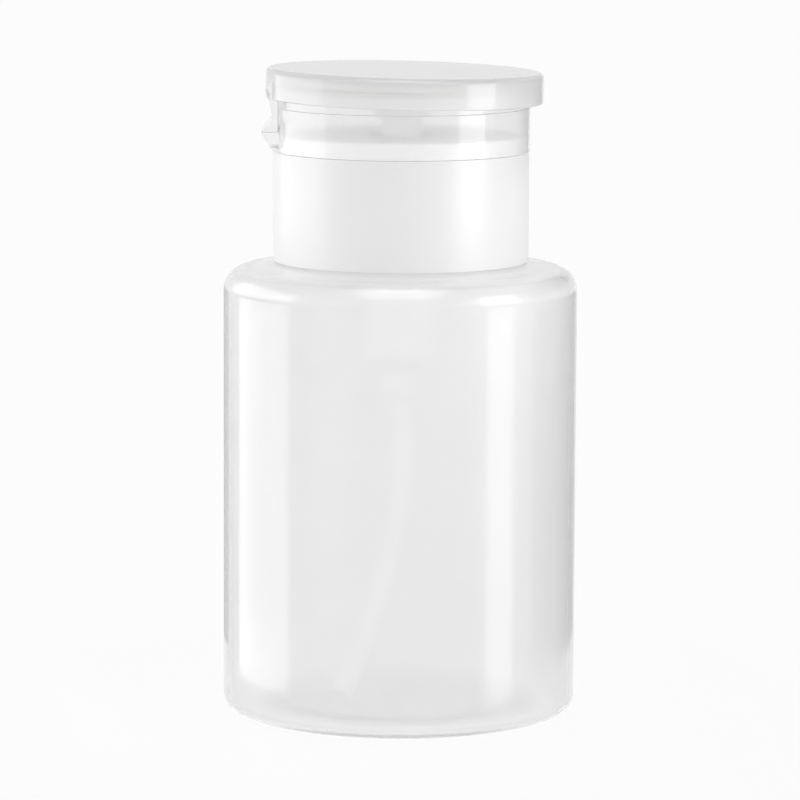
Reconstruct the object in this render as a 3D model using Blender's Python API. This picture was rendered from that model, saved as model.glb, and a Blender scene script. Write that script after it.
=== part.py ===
# Push-down pump dispenser for nail polish remover, with a flip lid on a clear ring.
# Metres, +Z up. The origin is at the centre of the base, -Y is the front and the lid hinges at -X.
import math

import bmesh
import bpy
import numpy as np
from mathutils import Matrix

# Fits shared by all pieces
FIT_GAP = 0.0003
RUNNING_CLEARANCE = 0.0006
CUT_OVERRUN = 0.002

# Bottle
BODY_RADIUS = 0.029
BODY_WALL = 0.0012
BASE_FILLET = 0.0025
SHOULDER_HEIGHT = 0.0733
SHOULDER_FILLET = 0.0038
SHOULDER_RISE = 0.0016
FOOT_WIDTH = 0.004
PUSH_UP_HEIGHT = 0.0009
PUSH_UP_SLOPE = 0.002
NECK_RADIUS = 0.0175
NECK_WALL = 0.0016
NECK_LENGTH = 0.0154

# Screw thread between neck and collar
THREAD_PITCH = 0.004233
THREAD_DEPTH = 0.0012
THREAD_ROOT_WIDTH = 0.0018
THREAD_CREST_WIDTH = 0.0008
THREAD_CLEARANCE = 0.00035
THREAD_TOP_DROP = 0.0026
THREAD_EMBED = 0.0004
NECK_THREAD_TURNS = 1.25
COLLAR_THREAD_TURNS = 1.0
THREAD_FADE_SHARE = 0.08

# Collar
COLLAR_WALL = 0.0019
COLLAR_EDGE = 0.0004
SPIGOT_HEIGHT = 0.0027
COLLAR_TOP_WALL = 0.0017
COLLAR_TOP_BORE_DEPTH = 0.0028
DECK_THICKNESS = 0.0015
SOCKET_CLEARANCE = 0.0007

# Clear ring and its hinge lug
RING_PROUD = 0.00015
RING_WALL = 0.0011
RING_HEIGHT = 0.0102
RING_LEDGE_HEIGHT = 0.0069
RING_LEDGE = 0.0003
RING_CHAMFER = 0.0003
HINGE_REACH = 0.0016
FOLD_HEIGHT = 0.0032
HINGE_HALF_WIDTH = 0.0073
HINGE_FLAT_DEPTH = 0.0014
LUG_FOOT_HEIGHT = 0.0004

# Lid and strap
LID_OVERHANG = 0.0016
LID_OFFSET = 0.0006
LID_TILT = math.radians(1.15)
LID_HEADROOM = 0.0015
LID_PLATE = 0.0012
LID_SKIRT = 0.0009
LID_SKIRT_DROP = 0.0038
LID_EDGE_FILLET = 0.0009
LINER_LIP_HEIGHT = 0.0009
LINER_LIP_WALL = 0.0006
STRAP_THICKNESS = 0.0009
STRAP_WAIST_HEIGHT = 0.0021
STRAP_TOP_DROP = 0.0018
STRAP_FLARE = 0.0011
STRAP_ROOT_RISE = 0.0015
STRAP_CURVE_SHARES = ((1.0, 1.0), (0.6, 0.75), (0.3, 0.5), (0.1, 0.25), (0.0, 0.0))

# Foam liner in the lid
LINER_INSET = 0.0043
LINER_THICKNESS = 0.001

# Neck gasket
GASKET_THICKNESS = 0.001

# Pump housing
FLANGE_THICKNESS = 0.0014
HUB_WALL = 0.0012
HUB_FLOOR = 0.002
BARREL_BORE_RADIUS = 0.0054
BARREL_WALL = 0.0012
SEAT_LAND = 0.001
SEAT_HOLE_RADIUS = 0.0015
SEAT_DEPTH = 0.0015
NIPPLE_WALL = 0.0012
NIPPLE_LENGTH = 0.005
VENT_RADIUS = 0.0006
VENT_DROP = 0.0012

# Housing cap, which keeps the plunger in and guides the stem
CAP_RADIUS = 0.0076
CAP_FLANGE = 0.0021
CAP_GUIDE_LENGTH = 0.0042
SEAL_RADIUS = 0.0056
SEAL_THICKNESS = 0.001

# Plunger: stem, piston and its retainer
STEM_RADIUS = 0.0035
STEM_BORE_RADIUS = 0.0011
STEM_FOOT_RADIUS = 0.0027
VALVE_CHAMBER_DEPTH = 0.0033
PISTON_LENGTH = 0.006
PISTON_WAIST = 0.0007
PISTON_LIP = 0.001
RETAINER_INSET = 0.0008
RETAINER_FLANGE = 0.001
RETAINER_TUBE_RADIUS = 0.0016
RETAINER_TUBE_LENGTH = 0.004
RETAINER_BORE_RADIUS = 0.0009

# Return spring
SPRING_LENGTH = 0.0145
SPRING_INSET = 0.0006
SPRING_WIRE_RADIUS = 0.0004
SPRING_END_PITCH = 0.0015
SPRING_TURNS = 7
SPRING_END_TURNS = 1

# Check balls and the cage over the lower one
INLET_BALL_RADIUS = 0.002
INLET_LIFT = 0.001
OUTLET_BALL_RADIUS = 0.0017
BALL_CLEARANCE = 0.0006
CAGE_ROOF = 0.001
CAGE_SLOT_WIDTH = 0.0012
CAGE_HOLE_RADIUS = 0.0011

# Dish and spreader
DISH_TOP_DROP = 0.0006
DISH_RIM_HEIGHT = 0.001
DISH_RIM_WALL = 0.0007
DISH_FLOOR = 0.0008
DISH_EDGE = 0.0006
DISH_FALL = 0.0003
DISH_SOCKET_WALL = 0.0007
DISH_SOCKET_DEPTH = 0.0021
DISH_HUB_RADIUS = 0.005
DISH_HUB_HEIGHT = 0.0004
SPREADER_HEAD_RADIUS = 0.0037
SPREADER_HEAD_HEIGHT = 0.0005
SPREADER_SPIGOT_RADIUS = 0.0023
SPREADER_HOLE_RADIUS = 0.0007
SPREADER_SLOT_WIDTH = 0.0008

# Dip tube. The route's points are chosen by hand: across as shares of the bottle's inner radius,
# and up as shares of the drop from the nipple to the tube's tip.
TUBE_RADIUS = 0.002
TUBE_BORE_RADIUS = 0.0013
TUBE_STEP = 0.0018
TUBE_TIP_GAP = 0.0031
TUBE_ROUTE_SHARES = (
    (0.029, -0.022, 0.895),
    (0.029, -0.108, 0.706),
    (-0.025, -0.223, 0.517),
    (-0.101, -0.342, 0.329),
    (-0.198, -0.450, 0.151),
    (-0.338, -0.558, 0.0),
)

# Heights, worked out from the neck up and from the neck down
NECK_BORE_RADIUS = NECK_RADIUS - NECK_WALL
NECK_FOOT = SHOULDER_HEIGHT + SHOULDER_RISE
NECK_TOP = NECK_FOOT + NECK_LENGTH
GASKET_BOTTOM = NECK_TOP + FIT_GAP
FLANGE_BOTTOM = GASKET_BOTTOM + GASKET_THICKNESS + FIT_GAP
FLANGE_TOP = FLANGE_BOTTOM + FLANGE_THICKNESS
DECK_BOTTOM = FLANGE_TOP + FIT_GAP
DECK_TOP = DECK_BOTTOM + DECK_THICKNESS
SLEEVE_TOP = DECK_TOP - SPIGOT_HEIGHT
RING_BOTTOM = SLEEVE_TOP + FIT_GAP
RING_TOP = RING_BOTTOM + RING_HEIGHT
FOLD_Z = RING_BOTTOM + FOLD_HEIGHT
LID_TOP = RING_TOP + LID_HEADROOM + LID_PLATE

# Radii that follow from the fits, from the neck outwards and from the barrel inwards
FOOT_INNER_RADIUS = BODY_RADIUS - BASE_FILLET - FOOT_WIDTH
COLLAR_BORE_RADIUS = NECK_RADIUS + THREAD_DEPTH + THREAD_CLEARANCE
COLLAR_RADIUS = COLLAR_BORE_RADIUS + COLLAR_WALL
RING_RADIUS = COLLAR_RADIUS + RING_PROUD
FOLD_REACH = RING_RADIUS + HINGE_REACH
HINGE_FLAT_REACH = RING_RADIUS - HINGE_FLAT_DEPTH
LID_RADIUS = RING_RADIUS + LID_OVERHANG
LINER_RADIUS = LID_RADIUS - LINER_INSET
RING_BORE_RADIUS = RING_RADIUS - RING_WALL
SPIGOT_RADIUS = RING_BORE_RADIUS - FIT_GAP
DISH_RADIUS = RING_BORE_RADIUS - RUNNING_CLEARANCE
SOCKET_BORE_RADIUS = STEM_RADIUS + FIT_GAP
SOCKET_RADIUS = SOCKET_BORE_RADIUS + DISH_SOCKET_WALL
DECK_HOLE_RADIUS = SOCKET_RADIUS + SOCKET_CLEARANCE
COLLAR_TOP_BORE_RADIUS = SPIGOT_RADIUS - COLLAR_TOP_WALL
FLANGE_RADIUS = COLLAR_TOP_BORE_RADIUS - SOCKET_CLEARANCE
CAP_POCKET_RADIUS = CAP_RADIUS + FIT_GAP
BARREL_RADIUS = BARREL_BORE_RADIUS + BARREL_WALL
PISTON_RADIUS = BARREL_BORE_RADIUS - FIT_GAP
RETAINER_RADIUS = PISTON_RADIUS - RETAINER_INSET
SPRING_MEAN_RADIUS = RETAINER_RADIUS - SPRING_INSET
CAGE_BORE_RADIUS = INLET_BALL_RADIUS + BALL_CLEARANCE
VALVE_CHAMBER_RADIUS = OUTLET_BALL_RADIUS + BALL_CLEARANCE
NIPPLE_BORE_RADIUS = TUBE_RADIUS + FIT_GAP

# Stack of the dish, from the ring's top down
DISH_TOP = RING_TOP - DISH_TOP_DROP
DISH_FLOOR_TOP = DISH_TOP - DISH_RIM_HEIGHT
DISH_FLOOR_BOTTOM = DISH_FLOOR_TOP - DISH_FLOOR - DISH_FALL
SOCKET_BOTTOM = DISH_FLOOR_BOTTOM - DISH_SOCKET_DEPTH
SPREADER_BOTTOM = DISH_FLOOR_BOTTOM + FIT_GAP
STEM_TOP = DISH_FLOOR_BOTTOM - FIT_GAP
HUB_TOP = DISH_FLOOR_TOP - DISH_FALL + DISH_HUB_HEIGHT

# Stack inside the pump, from the flange down
CAP_BOTTOM = FLANGE_TOP - CAP_FLANGE
GUIDE_BOTTOM = CAP_BOTTOM - CAP_GUIDE_LENGTH
PISTON_TOP = GUIDE_BOTTOM - FIT_GAP
PISTON_BOTTOM = PISTON_TOP - PISTON_LENGTH
RETAINER_TOP = PISTON_BOTTOM - FIT_GAP
RETAINER_BOTTOM = RETAINER_TOP - RETAINER_FLANGE
SPRING_TOP = RETAINER_BOTTOM - FIT_GAP
SPRING_BOTTOM = SPRING_TOP - SPRING_LENGTH
CAGE_TOP = SPRING_BOTTOM - FIT_GAP

# Resting heights of the balls on their 45 degree seats
SEAT_REST = math.sqrt(2.0)
INLET_BALL_RISE = (INLET_BALL_RADIUS + FIT_GAP) * SEAT_REST - SEAT_HOLE_RADIUS
CAGE_REACH = INLET_BALL_RISE + INLET_BALL_RADIUS + INLET_LIFT + FIT_GAP + CAGE_ROOF
SEAT_BOTTOM = CAGE_TOP - CAGE_REACH
SEAT_TOP = SEAT_BOTTOM + SEAT_DEPTH
INLET_BALL_Z = SEAT_BOTTOM + INLET_BALL_RISE
NIPPLE_TOP = SEAT_BOTTOM - SEAT_LAND
NIPPLE_BOTTOM = NIPPLE_TOP - NIPPLE_LENGTH
CHAMBER_BOTTOM = STEM_TOP - VALVE_CHAMBER_DEPTH
OUTLET_SEAT_BOTTOM = CHAMBER_BOTTOM - VALVE_CHAMBER_RADIUS + STEM_BORE_RADIUS
OUTLET_BALL_RISE = (OUTLET_BALL_RADIUS + FIT_GAP) * SEAT_REST - STEM_BORE_RADIUS
OUTLET_BALL_Z = OUTLET_SEAT_BOTTOM + OUTLET_BALL_RISE

# Facets
LARGE_SIDES = 48
SMALL_SIDES = 28
BALL_SEGMENTS = 16
BALL_RINGS = 10
TUBE_SIDES = 10
WIRE_SIDES = 6
SPRING_POINTS = 10
WELD_DISTANCE = 0.0000001
SMOOTH_ANGLE = math.radians(35.0)


def clear_scene():
    for existing in list(bpy.data.objects):
        bpy.data.objects.remove(existing, do_unlink=True)


def plastic(name, colour, roughness, metallic=0.0, transmission=0.0):
    made = bpy.data.materials.new(name)
    made.use_nodes = True
    shader = made.node_tree.nodes["Principled BSDF"]
    shader.inputs["Base Color"].default_value = (*colour, 1.0)
    shader.inputs["Roughness"].default_value = roughness
    shader.inputs["Metallic"].default_value = metallic
    shader.inputs["Transmission Weight"].default_value = transmission
    made.diffuse_color = (*colour, 1.0)
    return made


def object_from(name, bm, mat=None):
    # Faces are turned outwards, then the bmesh becomes a named object.
    bmesh.ops.remove_doubles(bm, verts=bm.verts, dist=WELD_DISTANCE)
    bmesh.ops.recalc_face_normals(bm, faces=bm.faces)
    if bm.calc_volume(signed=True) < 0.0:
        bmesh.ops.reverse_faces(bm, faces=bm.faces)
    mesh = bpy.data.meshes.new(name)
    bm.to_mesh(mesh)
    bm.free()
    made = bpy.data.objects.new(name, mesh)
    bpy.context.scene.collection.objects.link(made)
    if mat:
        mesh.materials.append(mat)
    mesh.shade_smooth()
    mesh.set_sharp_from_angle(angle=SMOOTH_ANGLE)
    return made


def arc(centre_r, centre_z, radius, start_deg, end_deg, steps=4):
    # Points (r, z) of a round corner, in degrees from the outward direction.
    found = []
    for step in range(steps + 1):
        angle = math.radians(start_deg + (end_deg - start_deg) * step / steps)
        found.append((centre_r + radius * math.cos(angle), centre_z + radius * math.sin(angle)))
    return found


def turned(name, outline, mat=None, sides=SMALL_SIDES):
    # Spins an outline of (r, z) points about Z. One that starts and ends on the axis stays open there.
    bm = bmesh.new()
    points = [bm.verts.new((radius, 0.0, height)) for radius, height in outline]
    edges = [bm.edges.new(pair) for pair in zip(points, points[1:])]
    if outline[0][0] > 0.0 or outline[-1][0] > 0.0:
        edges.append(bm.edges.new((points[-1], points[0])))
    bmesh.ops.spin(
        bm,
        geom=points + edges,
        cent=(0.0, 0.0, 0.0),
        axis=(0.0, 0.0, 1.0),
        angle=math.tau,
        steps=sides,
        use_merge=True,
    )
    return object_from(name, bm, mat)


def prism(name, outline, half_width):
    # Extrudes an outline of (x, z) points along Y, to both sides of y = 0.
    bm = bmesh.new()
    corners = [bm.verts.new((x, -half_width, z)) for x, z in outline]
    face = bm.faces.new(corners)
    grown = bmesh.ops.extrude_face_region(bm, geom=[face])
    moved = [item for item in grown["geom"] if isinstance(item, bmesh.types.BMVert)]
    bmesh.ops.translate(bm, verts=moved, vec=(0.0, 2.0 * half_width, 0.0))
    return object_from(name, bm)


def ball(name, radius, height, mat):
    bm = bmesh.new()
    bmesh.ops.create_uvsphere(bm, u_segments=BALL_SEGMENTS, v_segments=BALL_RINGS, radius=radius)
    made = object_from(name, bm, mat)
    made.location = (0.0, 0.0, height)
    return made


def helper(made):
    made.hide_render = True
    made.display_type = "WIRE"
    return made


def combine(target, other, operation):
    modifier = target.modifiers.new(operation.title(), "BOOLEAN")
    modifier.solver = "EXACT"
    modifier.operation = operation
    modifier.object = helper(other)


def rings_along(path, radius, sides):
    # One ring of points round each point of the path, with no twist between rings.
    tangents = np.gradient(path, axis=0)
    tangents /= np.linalg.norm(tangents, axis=1)[:, None]
    side = np.cross(tangents[0], (0.0, 1.0, 0.0))
    found = []
    for centre, tangent in zip(path, tangents):
        side = side - tangent * np.dot(side, tangent)
        side /= np.linalg.norm(side)
        across = np.cross(tangent, side)
        angles = np.arange(sides) * math.tau / sides
        ring = centre + radius * (np.outer(np.cos(angles), side) + np.outer(np.sin(angles), across))
        found.append(ring)
    return found


def add_skin(bm, rings):
    # Quads from ring to ring. Returns the first and the last ring's vertices.
    made = [[bm.verts.new(point) for point in ring] for ring in rings]
    for lower, upper in zip(made, made[1:]):
        for index in range(len(lower)):
            following = (index + 1) % len(lower)
            bm.faces.new((lower[index], lower[following], upper[following], upper[index]))
    return made[0], made[-1]


def swept(name, path, radius, sides, mat, bore=0.0):
    # A round bar along the path, or a tube where a bore is given.
    bm = bmesh.new()
    ends = add_skin(bm, rings_along(path, radius, sides))
    if bore > 0.0:
        inner_ends = add_skin(bm, rings_along(path, bore, sides))
        for outer, inner in zip(ends, inner_ends):
            for index in range(sides):
                following = (index + 1) % sides
                bm.faces.new((outer[index], outer[following], inner[following], inner[index]))
    else:
        for ring in ends:
            bm.faces.new(ring)
    return object_from(name, bm, mat)


def thread_ridge(name, root_radius, crest_radius, bottom, turns, start_share):
    # A trapezoid ridge on a right-hand helix, which fades out at both ends.
    steps = round(turns * LARGE_SIDES)
    rings = []
    for step in range(steps + 1):
        share = step / steps
        fade = min(1.0, share / THREAD_FADE_SHARE, (1.0 - share) / THREAD_FADE_SHARE)
        angle = math.tau * (start_share + step / LARGE_SIDES)
        height = bottom + THREAD_PITCH * step / LARGE_SIDES
        rise = (crest_radius - root_radius) * max(fade, THREAD_FADE_SHARE)
        embed = math.copysign(THREAD_EMBED, crest_radius - root_radius)
        section = (
            (root_radius - embed, -THREAD_ROOT_WIDTH / 2),
            (root_radius + rise, -THREAD_CREST_WIDTH / 2),
            (root_radius + rise, THREAD_CREST_WIDTH / 2),
            (root_radius - embed, THREAD_ROOT_WIDTH / 2),
        )
        rings.append([(r * math.cos(angle), r * math.sin(angle), height + z) for r, z in section])
    bm = bmesh.new()
    for ring in add_skin(bm, rings):
        bm.faces.new(ring)
    return object_from(name, bm)


def smooth_route(points, step):
    # Catmull-Rom curve through the points, with a point about every step.
    points = np.array(points)
    padded = np.vstack((2 * points[0] - points[1], points, 2 * points[-1] - points[-2]))
    found = [points[0]]
    for index in range(1, len(padded) - 2):
        before, here, after, beyond = padded[index - 1 : index + 3]
        count = max(2, round(float(np.linalg.norm(after - here)) / step))
        for part in np.arange(1, count + 1) / count:
            pull = (after - before) * part + (2 * before - 5 * here + 4 * after - beyond) * part**2
            pull += (3 * here - before - 3 * after + beyond) * part**3
            found.append(here + pull / 2)
    return np.array(found)


def build_bottle(mat):
    foot = FOOT_INNER_RADIUS - PUSH_UP_SLOPE
    side = BODY_RADIUS - BODY_WALL
    low = BODY_RADIUS - BASE_FILLET
    high = BODY_RADIUS - SHOULDER_FILLET
    shoulder_start = SHOULDER_HEIGHT - SHOULDER_FILLET
    outline = [(0.0, PUSH_UP_HEIGHT), (foot, PUSH_UP_HEIGHT), (FOOT_INNER_RADIUS, 0.0)]
    outline += arc(low, BASE_FILLET, BASE_FILLET, -90, 0)
    outline += arc(high, shoulder_start, SHOULDER_FILLET, 0, 90, steps=6)
    outline += [(NECK_RADIUS, NECK_FOOT), (NECK_RADIUS, NECK_TOP), (NECK_BORE_RADIUS, NECK_TOP)]
    outline += [(NECK_BORE_RADIUS, NECK_FOOT - BODY_WALL)]
    outline += arc(high, shoulder_start, SHOULDER_FILLET - BODY_WALL, 90, 0)
    outline += [(side, BASE_FILLET)]
    outline += arc(low, BASE_FILLET, BASE_FILLET - BODY_WALL, 0, -90, steps=3)[1:]
    outline += [(FOOT_INNER_RADIUS, BODY_WALL), (foot, PUSH_UP_HEIGHT + BODY_WALL)]
    outline += [(0.0, PUSH_UP_HEIGHT + BODY_WALL)]
    bottle = turned("bottle", outline, mat, LARGE_SIDES)
    thread_bottom = NECK_TOP - THREAD_TOP_DROP - NECK_THREAD_TURNS * THREAD_PITCH
    ridge = thread_ridge(
        "neck_thread",
        NECK_RADIUS,
        NECK_RADIUS + THREAD_DEPTH,
        thread_bottom,
        NECK_THREAD_TURNS,
        0.0,
    )
    combine(bottle, ridge, "UNION")


def build_collar(mat, parent):
    shoulder_slope = SHOULDER_RISE / (BODY_RADIUS - SHOULDER_FILLET - NECK_RADIUS)
    shoulder_reach = BODY_RADIUS - SHOULDER_FILLET - COLLAR_BORE_RADIUS
    bottom = SHOULDER_HEIGHT + shoulder_slope * shoulder_reach + FIT_GAP
    step_top = DECK_BOTTOM - COLLAR_TOP_BORE_DEPTH
    step_bottom = step_top - (COLLAR_BORE_RADIUS - COLLAR_TOP_BORE_RADIUS)
    outline = [
        (COLLAR_BORE_RADIUS, bottom),
        (COLLAR_RADIUS - COLLAR_EDGE, bottom),
        (COLLAR_RADIUS, bottom + COLLAR_EDGE),
        (COLLAR_RADIUS, SLEEVE_TOP - COLLAR_EDGE),
        (COLLAR_RADIUS - COLLAR_EDGE, SLEEVE_TOP),
        (SPIGOT_RADIUS, SLEEVE_TOP),
        (SPIGOT_RADIUS, DECK_TOP - COLLAR_EDGE),
        (SPIGOT_RADIUS - COLLAR_EDGE, DECK_TOP),
        (DECK_HOLE_RADIUS, DECK_TOP),
        (DECK_HOLE_RADIUS, DECK_BOTTOM),
        (COLLAR_TOP_BORE_RADIUS, DECK_BOTTOM),
        (COLLAR_TOP_BORE_RADIUS, step_top),
        (COLLAR_BORE_RADIUS, step_bottom),
    ]
    collar = turned("collar", outline, mat, LARGE_SIDES)
    flank_run = (THREAD_ROOT_WIDTH - THREAD_CREST_WIDTH) / 2
    flank_meet = THREAD_ROOT_WIDTH - flank_run * (1.0 + THREAD_CLEARANCE / THREAD_DEPTH)
    neck_bottom = NECK_TOP - THREAD_TOP_DROP - NECK_THREAD_TURNS * THREAD_PITCH
    start_share = (NECK_THREAD_TURNS - COLLAR_THREAD_TURNS + 1 / LARGE_SIDES) / 2
    lead = start_share * THREAD_PITCH
    ridge = thread_ridge(
        "collar_thread",
        COLLAR_BORE_RADIUS,
        COLLAR_BORE_RADIUS - THREAD_DEPTH,
        neck_bottom + lead - flank_meet - FIT_GAP,
        COLLAR_THREAD_TURNS,
        start_share,
    )
    combine(collar, ridge, "UNION")
    keep_on(collar, parent)


def build_ring(mat, parent):
    rim = RING_RADIUS - RING_LEDGE
    ledge = RING_BOTTOM + RING_LEDGE_HEIGHT
    outline = [
        (RING_BORE_RADIUS, RING_BOTTOM),
        (RING_RADIUS - RING_CHAMFER, RING_BOTTOM),
        (RING_RADIUS, RING_BOTTOM + RING_CHAMFER),
        (RING_RADIUS, ledge),
        (rim, ledge),
        (rim, RING_TOP),
        (RING_BORE_RADIUS, RING_TOP),
    ]
    ring = turned("guard_ring", outline, mat, LARGE_SIDES)
    lug_top = FOLD_Z - FIT_GAP / 2
    inside = RING_RADIUS - CUT_OVERRUN
    lug = prism(
        "hinge_lug",
        [
            (-inside, RING_BOTTOM + LUG_FOOT_HEIGHT),
            (-RING_RADIUS, RING_BOTTOM + LUG_FOOT_HEIGHT),
            (-FOLD_REACH, lug_top),
            (-inside, lug_top),
        ],
        HINGE_HALF_WIDTH,
    )
    middle = RING_BORE_RADIUS + RING_WALL / 2
    lug_hollow = turned(
        "lug_hollow",
        [(0.0, RING_TOP), (middle, RING_TOP), (middle, RING_BOTTOM), (0.0, RING_BOTTOM)],
        sides=LARGE_SIDES,
    )
    combine(lug, lug_hollow, "DIFFERENCE")
    combine(ring, lug, "UNION")
    flat = prism(
        "hinge_flat",
        [
            (-HINGE_FLAT_REACH, lug_top),
            (-HINGE_FLAT_REACH, RING_TOP + CUT_OVERRUN),
            (-FOLD_REACH - CUT_OVERRUN, RING_TOP + CUT_OVERRUN),
            (-FOLD_REACH - CUT_OVERRUN, lug_top),
        ],
        HINGE_HALF_WIDTH + FIT_GAP,
    )
    combine(ring, flat, "DIFFERENCE")
    keep_on(ring, parent)


def build_lid(mat, parent):
    # Turned about its own axis with its top face at z = 0, then set down with its tilt.
    bore = LID_RADIUS - LID_SKIRT
    lip_out = LINER_RADIUS + FIT_GAP + LINER_LIP_WALL
    edge = LID_RADIUS - LID_EDGE_FILLET
    outline = [(0.0, -LID_PLATE), (LINER_RADIUS + FIT_GAP, -LID_PLATE)]
    outline += [(LINER_RADIUS + FIT_GAP, -LID_PLATE - LINER_LIP_HEIGHT)]
    outline += [(lip_out, -LID_PLATE - LINER_LIP_HEIGHT), (lip_out, -LID_PLATE)]
    outline += [(bore, -LID_PLATE), (bore, -LID_PLATE - LID_SKIRT_DROP)]
    outline += [(LID_RADIUS, -LID_PLATE - LID_SKIRT_DROP)]
    outline += arc(edge, -LID_EDGE_FILLET, LID_EDGE_FILLET, 0, 90, steps=3)
    outline += [(0.0, 0.0)]
    lid = turned("lid", outline, mat, LARGE_SIDES)
    lid.location = (LID_OFFSET, 0.0, LID_TOP)
    lid.rotation_euler = (0.0, LID_TILT, 0.0)
    inner = HINGE_FLAT_REACH + FIT_GAP
    bottom = FOLD_Z + FIT_GAP / 2
    waist = inner + STRAP_THICKNESS
    waist_z = FOLD_Z + STRAP_WAIST_HEIGHT
    top_z = LID_TOP - LID_PLATE - STRAP_TOP_DROP
    root_z = top_z + STRAP_ROOT_RISE
    strap_line = [(-inner, bottom), (-inner, root_z), (-waist, root_z)]
    for flare_share, rise_share in STRAP_CURVE_SHARES:
        rise = (top_z - waist_z) * rise_share
        strap_line.append((-waist - STRAP_FLARE * flare_share, waist_z + rise))
    strap_line.append((-FOLD_REACH, bottom))
    strap = prism("hinge_strap", strap_line, HINGE_HALF_WIDTH)
    combine(lid, strap, "UNION")
    keep_on(lid, parent)


def build_liner(mat, parent):
    top = -LID_PLATE - FIT_GAP
    bottom = top - LINER_THICKNESS
    outline = [(0.0, top), (LINER_RADIUS, top), (LINER_RADIUS, bottom), (0.0, bottom)]
    liner = turned("lid_liner", outline, mat, LARGE_SIDES)
    liner.location = (LID_OFFSET, 0.0, LID_TOP)
    liner.rotation_euler = (0.0, LID_TILT, 0.0)
    keep_on(liner, parent)


def build_gasket(mat, parent):
    top = GASKET_BOTTOM + GASKET_THICKNESS
    outline = [
        (NECK_BORE_RADIUS, GASKET_BOTTOM),
        (NECK_RADIUS, GASKET_BOTTOM),
        (NECK_RADIUS, top),
        (NECK_BORE_RADIUS, top),
    ]
    keep_on(turned("neck_gasket", outline, mat, LARGE_SIDES), parent)


def build_housing(mat, parent):
    hub = CAP_POCKET_RADIUS + HUB_WALL
    pocket_floor = CAP_BOTTOM - FIT_GAP
    hub_bottom = pocket_floor - HUB_FLOOR
    nipple = NIPPLE_BORE_RADIUS + NIPPLE_WALL
    outline = [
        (FLANGE_RADIUS, FLANGE_TOP),
        (FLANGE_RADIUS, FLANGE_BOTTOM),
        (hub, FLANGE_BOTTOM),
        (hub, hub_bottom),
        (BARREL_RADIUS, hub_bottom),
        (BARREL_RADIUS, SEAT_TOP - BARREL_WALL),
        (nipple, NIPPLE_TOP),
        (nipple, NIPPLE_BOTTOM),
        (NIPPLE_BORE_RADIUS, NIPPLE_BOTTOM),
        (NIPPLE_BORE_RADIUS, NIPPLE_TOP),
        (SEAT_HOLE_RADIUS, NIPPLE_TOP),
        (SEAT_HOLE_RADIUS, SEAT_BOTTOM),
        (SEAT_HOLE_RADIUS + SEAT_DEPTH, SEAT_TOP),
        (BARREL_BORE_RADIUS, SEAT_TOP),
        (BARREL_BORE_RADIUS, pocket_floor),
        (CAP_POCKET_RADIUS, pocket_floor),
        (CAP_POCKET_RADIUS, FLANGE_TOP),
    ]
    housing = turned("pump_housing", outline, mat)
    vent = bmesh.new()
    bmesh.ops.create_cone(
        vent,
        cap_ends=True,
        segments=TUBE_SIDES,
        radius1=VENT_RADIUS,
        radius2=VENT_RADIUS,
        depth=BARREL_WALL + 2 * CUT_OVERRUN,
    )
    vent_cutter = object_from("vent_cutter", vent)
    vent_cutter.rotation_euler = (math.radians(90.0), 0.0, 0.0)
    vent_cutter.location = (0.0, BARREL_BORE_RADIUS + BARREL_WALL / 2, hub_bottom - VENT_DROP)
    combine(housing, vent_cutter, "DIFFERENCE")
    keep_on(housing, parent)


def build_cap(mat, parent):
    bore = STEM_RADIUS + FIT_GAP
    guide = BARREL_BORE_RADIUS - FIT_GAP
    pocket = SEAL_RADIUS + FIT_GAP
    pocket_floor = FLANGE_TOP - SEAL_THICKNESS - 2 * FIT_GAP
    outline = [
        (CAP_RADIUS, FLANGE_TOP),
        (CAP_RADIUS, CAP_BOTTOM),
        (guide, CAP_BOTTOM),
        (guide, GUIDE_BOTTOM),
        (bore, GUIDE_BOTTOM),
        (bore, pocket_floor),
        (pocket, pocket_floor),
        (pocket, FLANGE_TOP),
    ]
    keep_on(turned("housing_cap", outline, mat), parent)


def build_seal(mat, parent):
    top = FLANGE_TOP - FIT_GAP
    bottom = top - SEAL_THICKNESS
    bore = STEM_RADIUS + FIT_GAP
    outline = [(bore, bottom), (SEAL_RADIUS, bottom), (SEAL_RADIUS, top), (bore, top)]
    keep_on(turned("stem_seal", outline, mat), parent)


def build_stem(mat, parent):
    shoulder = PISTON_TOP + FIT_GAP
    foot = RETAINER_TOP + FIT_GAP
    socket = RETAINER_TUBE_RADIUS + FIT_GAP
    socket_top = RETAINER_TOP + RETAINER_TUBE_LENGTH + FIT_GAP
    outline = [
        (STEM_RADIUS, STEM_TOP),
        (STEM_RADIUS, shoulder),
        (STEM_FOOT_RADIUS, shoulder),
        (STEM_FOOT_RADIUS, foot),
        (socket, foot),
        (socket, socket_top),
        (STEM_BORE_RADIUS, socket_top),
        (STEM_BORE_RADIUS, OUTLET_SEAT_BOTTOM),
        (VALVE_CHAMBER_RADIUS, CHAMBER_BOTTOM),
        (VALVE_CHAMBER_RADIUS, STEM_TOP),
    ]
    keep_on(turned("stem", outline, mat), parent)


def build_piston(mat, parent):
    bore = STEM_FOOT_RADIUS + FIT_GAP
    waist = PISTON_RADIUS - PISTON_WAIST
    outline = [
        (bore, PISTON_TOP),
        (PISTON_RADIUS, PISTON_TOP),
        (PISTON_RADIUS, PISTON_TOP - PISTON_LIP),
        (waist, PISTON_TOP - PISTON_LIP - PISTON_WAIST),
        (waist, PISTON_BOTTOM + PISTON_LIP + PISTON_WAIST),
        (PISTON_RADIUS, PISTON_BOTTOM + PISTON_LIP),
        (PISTON_RADIUS, PISTON_BOTTOM),
        (bore, PISTON_BOTTOM),
    ]
    keep_on(turned("piston", outline, mat), parent)


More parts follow.
